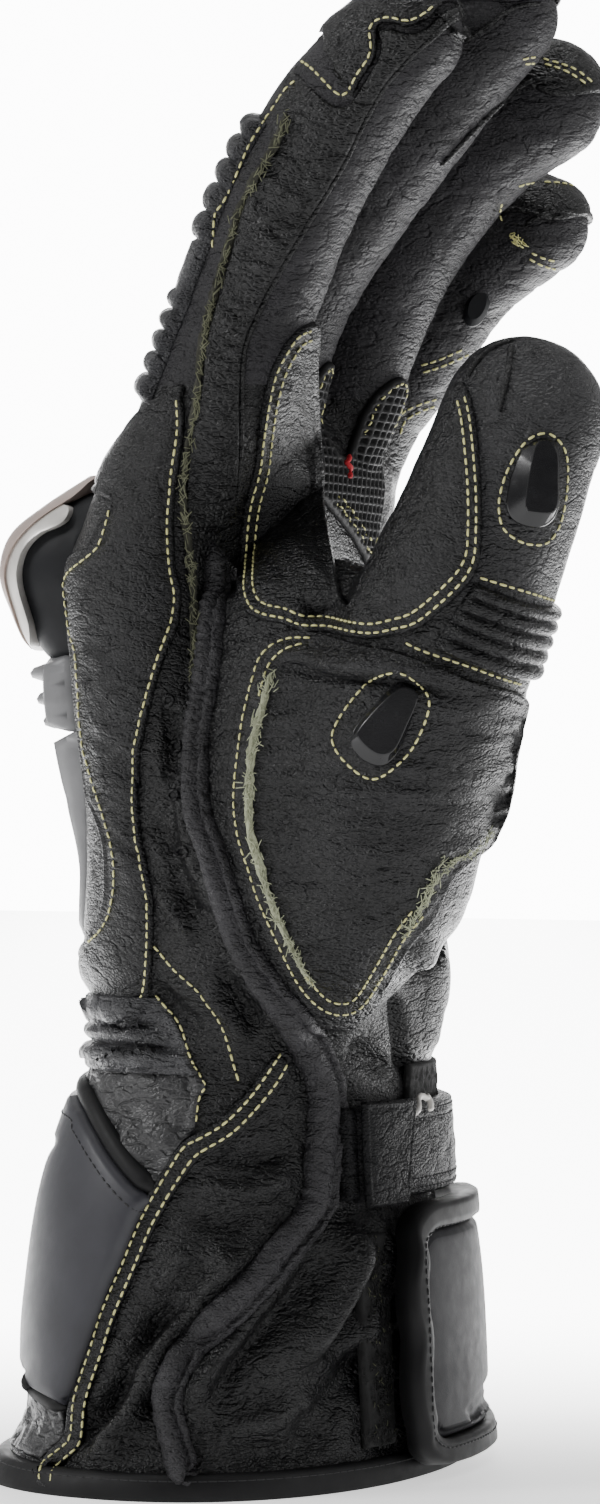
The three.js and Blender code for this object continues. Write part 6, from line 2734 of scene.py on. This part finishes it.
@dataclass
class CuffGuard:
    """The smooth coated shell over the back of the cuff, with rubber bindings (lines in pixels)."""

    top: Line = ((158, 1193), (140, 1178), (121, 1154), (106, 1128), (94, 1104), (87, 1088))
    low: Line = ((26, 1374), (38, 1386), (52, 1397), (68, 1405))
    front: Line = (
        (78, 1384), (88, 1354), (99, 1323), (110, 1292), (121, 1268), (131, 1243), (141, 1220), (151, 1203),
    )
    embossed: tuple[Line, ...] = (
        ((72, 1140), (60, 1156), (49, 1176), (42, 1200), (36, 1232)),
        ((64, 1136), (52, 1152), (43, 1172), (36, 1196), (31, 1226)),
    )

    def build(self, ground: Surface, black: Stitching) -> None:
        """Makes the shell, its bindings and the stitches under the top one.

        Args:
            ground: The glove so far, which the pieces lie on.
            black: The black thread.
        """
        top, low, front = (ROUND.placed(ground, line) for line in (self.top, self.low, self.front))
        edge = [(-180, 24.2), *low, *front, *[(a, z - 1.6) for a, z in top], (-165, 77.4), (-180, 77.6)]
        shell = Panel("cuff_guard_shell", ROUND, near_and_far(edge), thick=3.0, insets=(), sink=0, corner=0.8,
                      spacing=1.3, crown=0.5, relief=self.lines, rounded=False, soften=8)
        dress(shell.build(ground), Finish.COATED, Slot.COATED, "cuff_guard")
        black.row(ground, ROUND, near_and_far([(a, z - 5.0) for a, z in top]))
        base = ground.copy()
        top_line = near_and_far([*top, (-158, 79.0), (-168, 79.4), (-180, 79.4)])
        low_line = near_and_far([*[(a, z - 0.6) for a, z in reversed(low)], (-165, 22.4), (-180, 22.4)])
        binding = Sweep("cuff_guard_binding", ROUND, top_line[:-1], half=2.1, rise=2.2, soften=10, taper=0.03)
        dress(binding.build(base), Finish.RUBBER, Slot.BLACK_RUBBER, "guard_binding_top")
        binding = Sweep("cuff_guard_foot", ROUND, low_line[:-1], half=1.7, rise=2.0, soften=10, taper=0.03)
        dress(binding.build(base), Finish.RUBBER, Slot.BLACK_RUBBER, "guard_binding_low")

    def lines(self, _places: Array, points: Array) -> Array:
        """Embossed lines beside the silhouette."""
        folds = [Fold(line, 0.8, -0.9, 0.08) for line in self.embossed]
        near = points[:, 1] < 0
        total = np.zeros(len(points))
        total[near] = fold_heights(VIEW.project(points[near]), folds)
        return total


@dataclass
class Hem:
    """The rubbery tape round the cuff's bottom edge."""

    profile: Line = (
        (0.02, 1.2), (0.02, 1.6), (0.6, 1.75), (2.6, 1.8), (4.3, 1.7), (5.0, 1.35), (5.2, 0.6), (5.2, -2.2),
        (4.6, -2.8), (2.4, -2.8), (0.02, -2.6),
    )

    def build(self, ground: Surface, black: Stitching) -> None:
        """Makes the tape and its row of stitches.

        Args:
            ground: The glove so far, which the pieces lie on.
            black: The black thread.
        """
        angles = np.arange(0, 360, 1.5)
        rings = []
        for z, out in self.profile:
            places = np.interp(z, BODY.rows[:, 2], np.arange(len(BODY.rows)))
            ring = BODY.points(np.full(len(angles), places), angles, out)
            ring[:, 2] = z
            rings.append(ring)
        points = np.stack(rings, axis=1).reshape(-1, 3)
        wide, count = len(self.profile), len(angles)
        faces = grid_faces(count, wide, wrap=True, loop=True)
        tape = make_object("hem_tape", points, outward(points, faces))
        ground.add(points, faces)
        to_packed(tape, ground.space, 50)
        dress(tape, Finish.RUBBER, Slot.BLACK_RUBBER, "hem_binding")
        line = [(float(a), 4.0) for a in range(-180, 180, 6)]
        black.row(ground, ROUND, line, closed=True)


@dataclass
class WristStrap:
    """The wrist strap with its keeper and pads, and the hook strip beside the gusset (y, height)."""

    strap: tuple[Point, Point] = ((-19.6, 41.6), (56.2, 75.3))
    keeper: Line = ((-19.8, 55.2), (-7.7, 55.2), (-3.8, 76.6), (-19.8, 76.6))
    tab: Line = ((-22.4, 56.6), (-17.6, 56.6), (-17.2, 75.4), (-22, 75.4))
    loop_pad: tuple[Point, Point] = ((2.2, 45.6), (57.4, 82.8))
    hook: Line = ((-19.4, 7.4), (-9.4, 7.4), (-9.4, 30), (-9.6, 49.6), (-18.6, 49.6), (-19.2, 30))

    @staticmethod
    def puller(ground: Surface) -> None:
        """Makes the bright puller that shows above the keeper."""
        line = ((409, 1116), (414, 1106), (420, 1100), (425, 1103), (424, 1112))
        bit = Sweep("strap_puller", PHOTO, line, half=0.6, rise=1.0, lift=1.0, step=0.3, soften=2)
        dress(bit.build(ground, False), Finish.TITANIUM)

    @staticmethod
    def box(across: Point, heights: Point) -> Line:
        """A rectangle's outline with many corners."""
        (y0, y1), (z0, z1) = across, heights
        steps = np.linspace(0, 1, 12)
        low = [(y0 + (y1 - y0) * t, z0) for t in steps]
        return [*low, *[(y, z1) for y, _ in reversed(low)]]

    def build(self, ground: Surface, black: Stitching) -> None:
        """Makes the strap's pieces.

        Args:
            ground: The glove so far, which the pieces lie on.
            black: The black thread.
        """
        pads = (("strap_pile", self.box(*self.loop_pad), "strap_loop_pad", 0.2, 1.2),
                ("hook_pile_strip", self.hook, "hook_strip", 0.2, 1.6))
        for name, outline, node, lift, thick in pads:
            pile = Panel(name, ROUND, ROUND.from_front(outline), lift=lift, thick=thick, insets=(), sink=0,
                         spacing=0.7, relief=PILE, rounded=False)
            dress(pile.build(ground.copy() if node == "strap_loop_pad" else ground), Finish.FUZZ,
                  Slot.FUZZ, node)
        middle = ROUND.from_front([(-14.2, z) for z in (8, 20, 32, 44, 49)])
        for name, finish, density in (("hook_fuzz", Finish.FUZZ, 22.0), ("hook_specks", Finish.OLIVE, 1.6)):
            pile = Fray(name, ROUND, middle, half=4.0, per_mm=density, longest=1.3, radius=0.11)
            pile.build(ground, finish)
        base = ground.copy()
        strap = Panel("wrist_strap_leather", ROUND, ROUND.from_front(self.box(*self.strap)), lift=1.9,
                      thick=2.9, under=0.0, insets=(1.7, 3.6), sink=0.3, corner=0.7, rounded=False, soften=6,
                      relief=BACK_CREASES)
        dress(strap.build(ground), Finish.STRAP, Slot.LEATHER, "wrist_strap")
        tab = Panel("wrist_strap_tab", ROUND, ROUND.from_front(self.tab), lift=0.0, thick=3.6, insets=(),
                    sink=0, corner=0.7, rounded=False)
        dress(tab.build(base, False), Finish.STRAP)
        keeper = Panel("strap_keeper_leather", ROUND, ROUND.from_front(self.keeper), lift=5.2, thick=1.6,
                       under=0.0, insets=(1.5,), sink=0.3, corner=0.5, rounded=False, spacing=0.9,
                       relief=BACK_CREASES)
        dress(keeper.build(base.copy(), False), Finish.STRAP, Slot.LEATHER, "strap_keeper")
        self.puller(ground)
        (_, y1), (z0, z1) = self.strap
        for z in (z0 + 1.7, z0 + 3.6, z1 - 3.6, z1 - 1.7):
            black.row(ground, ROUND, ROUND.from_front([(y, z) for y in np.linspace(-3, y1 - 2, 9)]))


@dataclass
class ClosureFlap:
    """The flap that closes the cuff: a coated pad inside a thick rubber border (y, height)."""

    across: Point = (-13.0, 50.0)
    heights: Point = (1.5, 54.8)
    corner: float = 13.0
    border: float = 5.2
    grooves: tuple[Line, ...] = (((491, 1306), (474, 1340), (452, 1382), (430, 1418)),
                                 ((494, 1314), (478, 1348), (456, 1390), (434, 1424)))
    dashes_from: Point = (452, 1382)
    dash_height: float = 0.3

    def outline(self, margin: float) -> Line:
        """The flap's rounded rectangle.

        Args:
            margin: How far it is drawn in.

        Returns:
            Its corners as y and height.
        """
        (y0, y1), (z0, z1) = self.across, self.heights
        radius = self.corner - margin
        points = []
        left, right, low, high = y0 + self.corner, y1 - self.corner, z0 + self.corner, z1 - self.corner
        for y, z, first in ((right, high, 0), (left, high, 90), (left, low, 180), (right, low, 270)):
            for angle in np.radians(np.arange(first, first + 91, 18)):
                points.append((y + radius * math.cos(angle), z + radius * math.sin(angle)))
        dense = []
        for (ya, za), (yb, zb) in zip(points, [*points[1:], points[0]]):
            count = max(int(math.hypot(yb - ya, zb - za) / 4), 1)
            dense += [(ya + (yb - ya) * k / count, za + (zb - za) * k / count) for k in range(count)]
        return dense

    def build(self, ground: Surface, black: Stitching) -> None:
        """Makes the border and the pad.

        Args:
            ground: The glove so far, which the pieces lie on.
            black: The black thread.
        """
        border = Sweep("flap_rubber_border", ROUND, ROUND.from_front(self.outline(self.border / 2)),
                       half=self.border / 2, rise=4.9, lift=4.1, closed=True, profile=FLAT_PROFILE, soften=12)
        base = ground.copy()
        dress(border.build(ground), Finish.RUBBER, Slot.BLACK_RUBBER, "flap_border")
        pad = Panel("flap_pad", ROUND, ROUND.from_front(self.outline(self.border + 0.2)), lift=4.4, thick=3.4,
                    under=0.0, insets=(1.2,), sink=0.25, corner=0.9, crown=0.7, relief=self.texture,
                    spacing=0.8, soften=10)
        dress(pad.build(base), Finish.FLAP, Slot.COATED, "closure_flap")
        black.row(ground, ROUND, ROUND.from_front(self.outline(self.border - 0.7)), closed=True)

    def texture(self, _places: Array, points: Array) -> Array:
        """The diagonal double groove and the small raised dashes below it."""
        pixels = VIEW.project(points)
        grooves = fold_heights(pixels, [Fold(line, 0.8, -1.1, 0.06) for line in self.grooves])
        right, down = pixels.T
        low = smoothstep(3, 12, (right - self.dashes_from[0]) * 0.8 + (down - self.dashes_from[1]) * 0.45)
        dash = np.sin(right * 0.9) * np.sin(down * 0.42 + np.floor(right / 3.5) * 1.6)
        return grooves + self.dash_height * low * dash


def main() -> None:
    """Builds the glove in order."""
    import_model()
    space = Space.from_hem(BODY_ROWS[0][0])
    VIEW.build(space)
    Studio().build()
    skin = Skin(space)
    skin.build()
    plain = skin.surface()
    skin.wrinkle(FOLDS)
    ground = skin.surface()
    skin.pieces()
    thread, black = Stitching(), Stitching(radius=0.18)
    FingerPleats().build(ground)
    IndexSide().build(ground, thread)
    Fingertips().build(ground, thread)
    BackPanel().build(ground, thread)
    KnuckleGuard().build(ground)
    GripPatch().build(ground, thread)
    ThumbSide().build(ground, thread)
    for slider in SLIDERS:
        slider.build(ground, thread)
    WristBack().build(ground, thread)
    Hem().build(ground, black)
    CuffGuard().build(plain.copy(), black)
    WristStrap().build(plain, black)
    ClosureFlap().build(plain.copy(), black)
    CuffSeam().build(ground, thread)
    Perforations().build(ground)
    Outseam().build(ground)
    for name, rows, finish in (("yellow_stitching", thread, Finish.THREAD),
                               ("black_stitching", black, Finish.BLACK_THREAD)):
        dress(rows.build(name, space), finish)


if __name__ == "__main__":
    logging.basicConfig(level=logging.INFO)
    main()
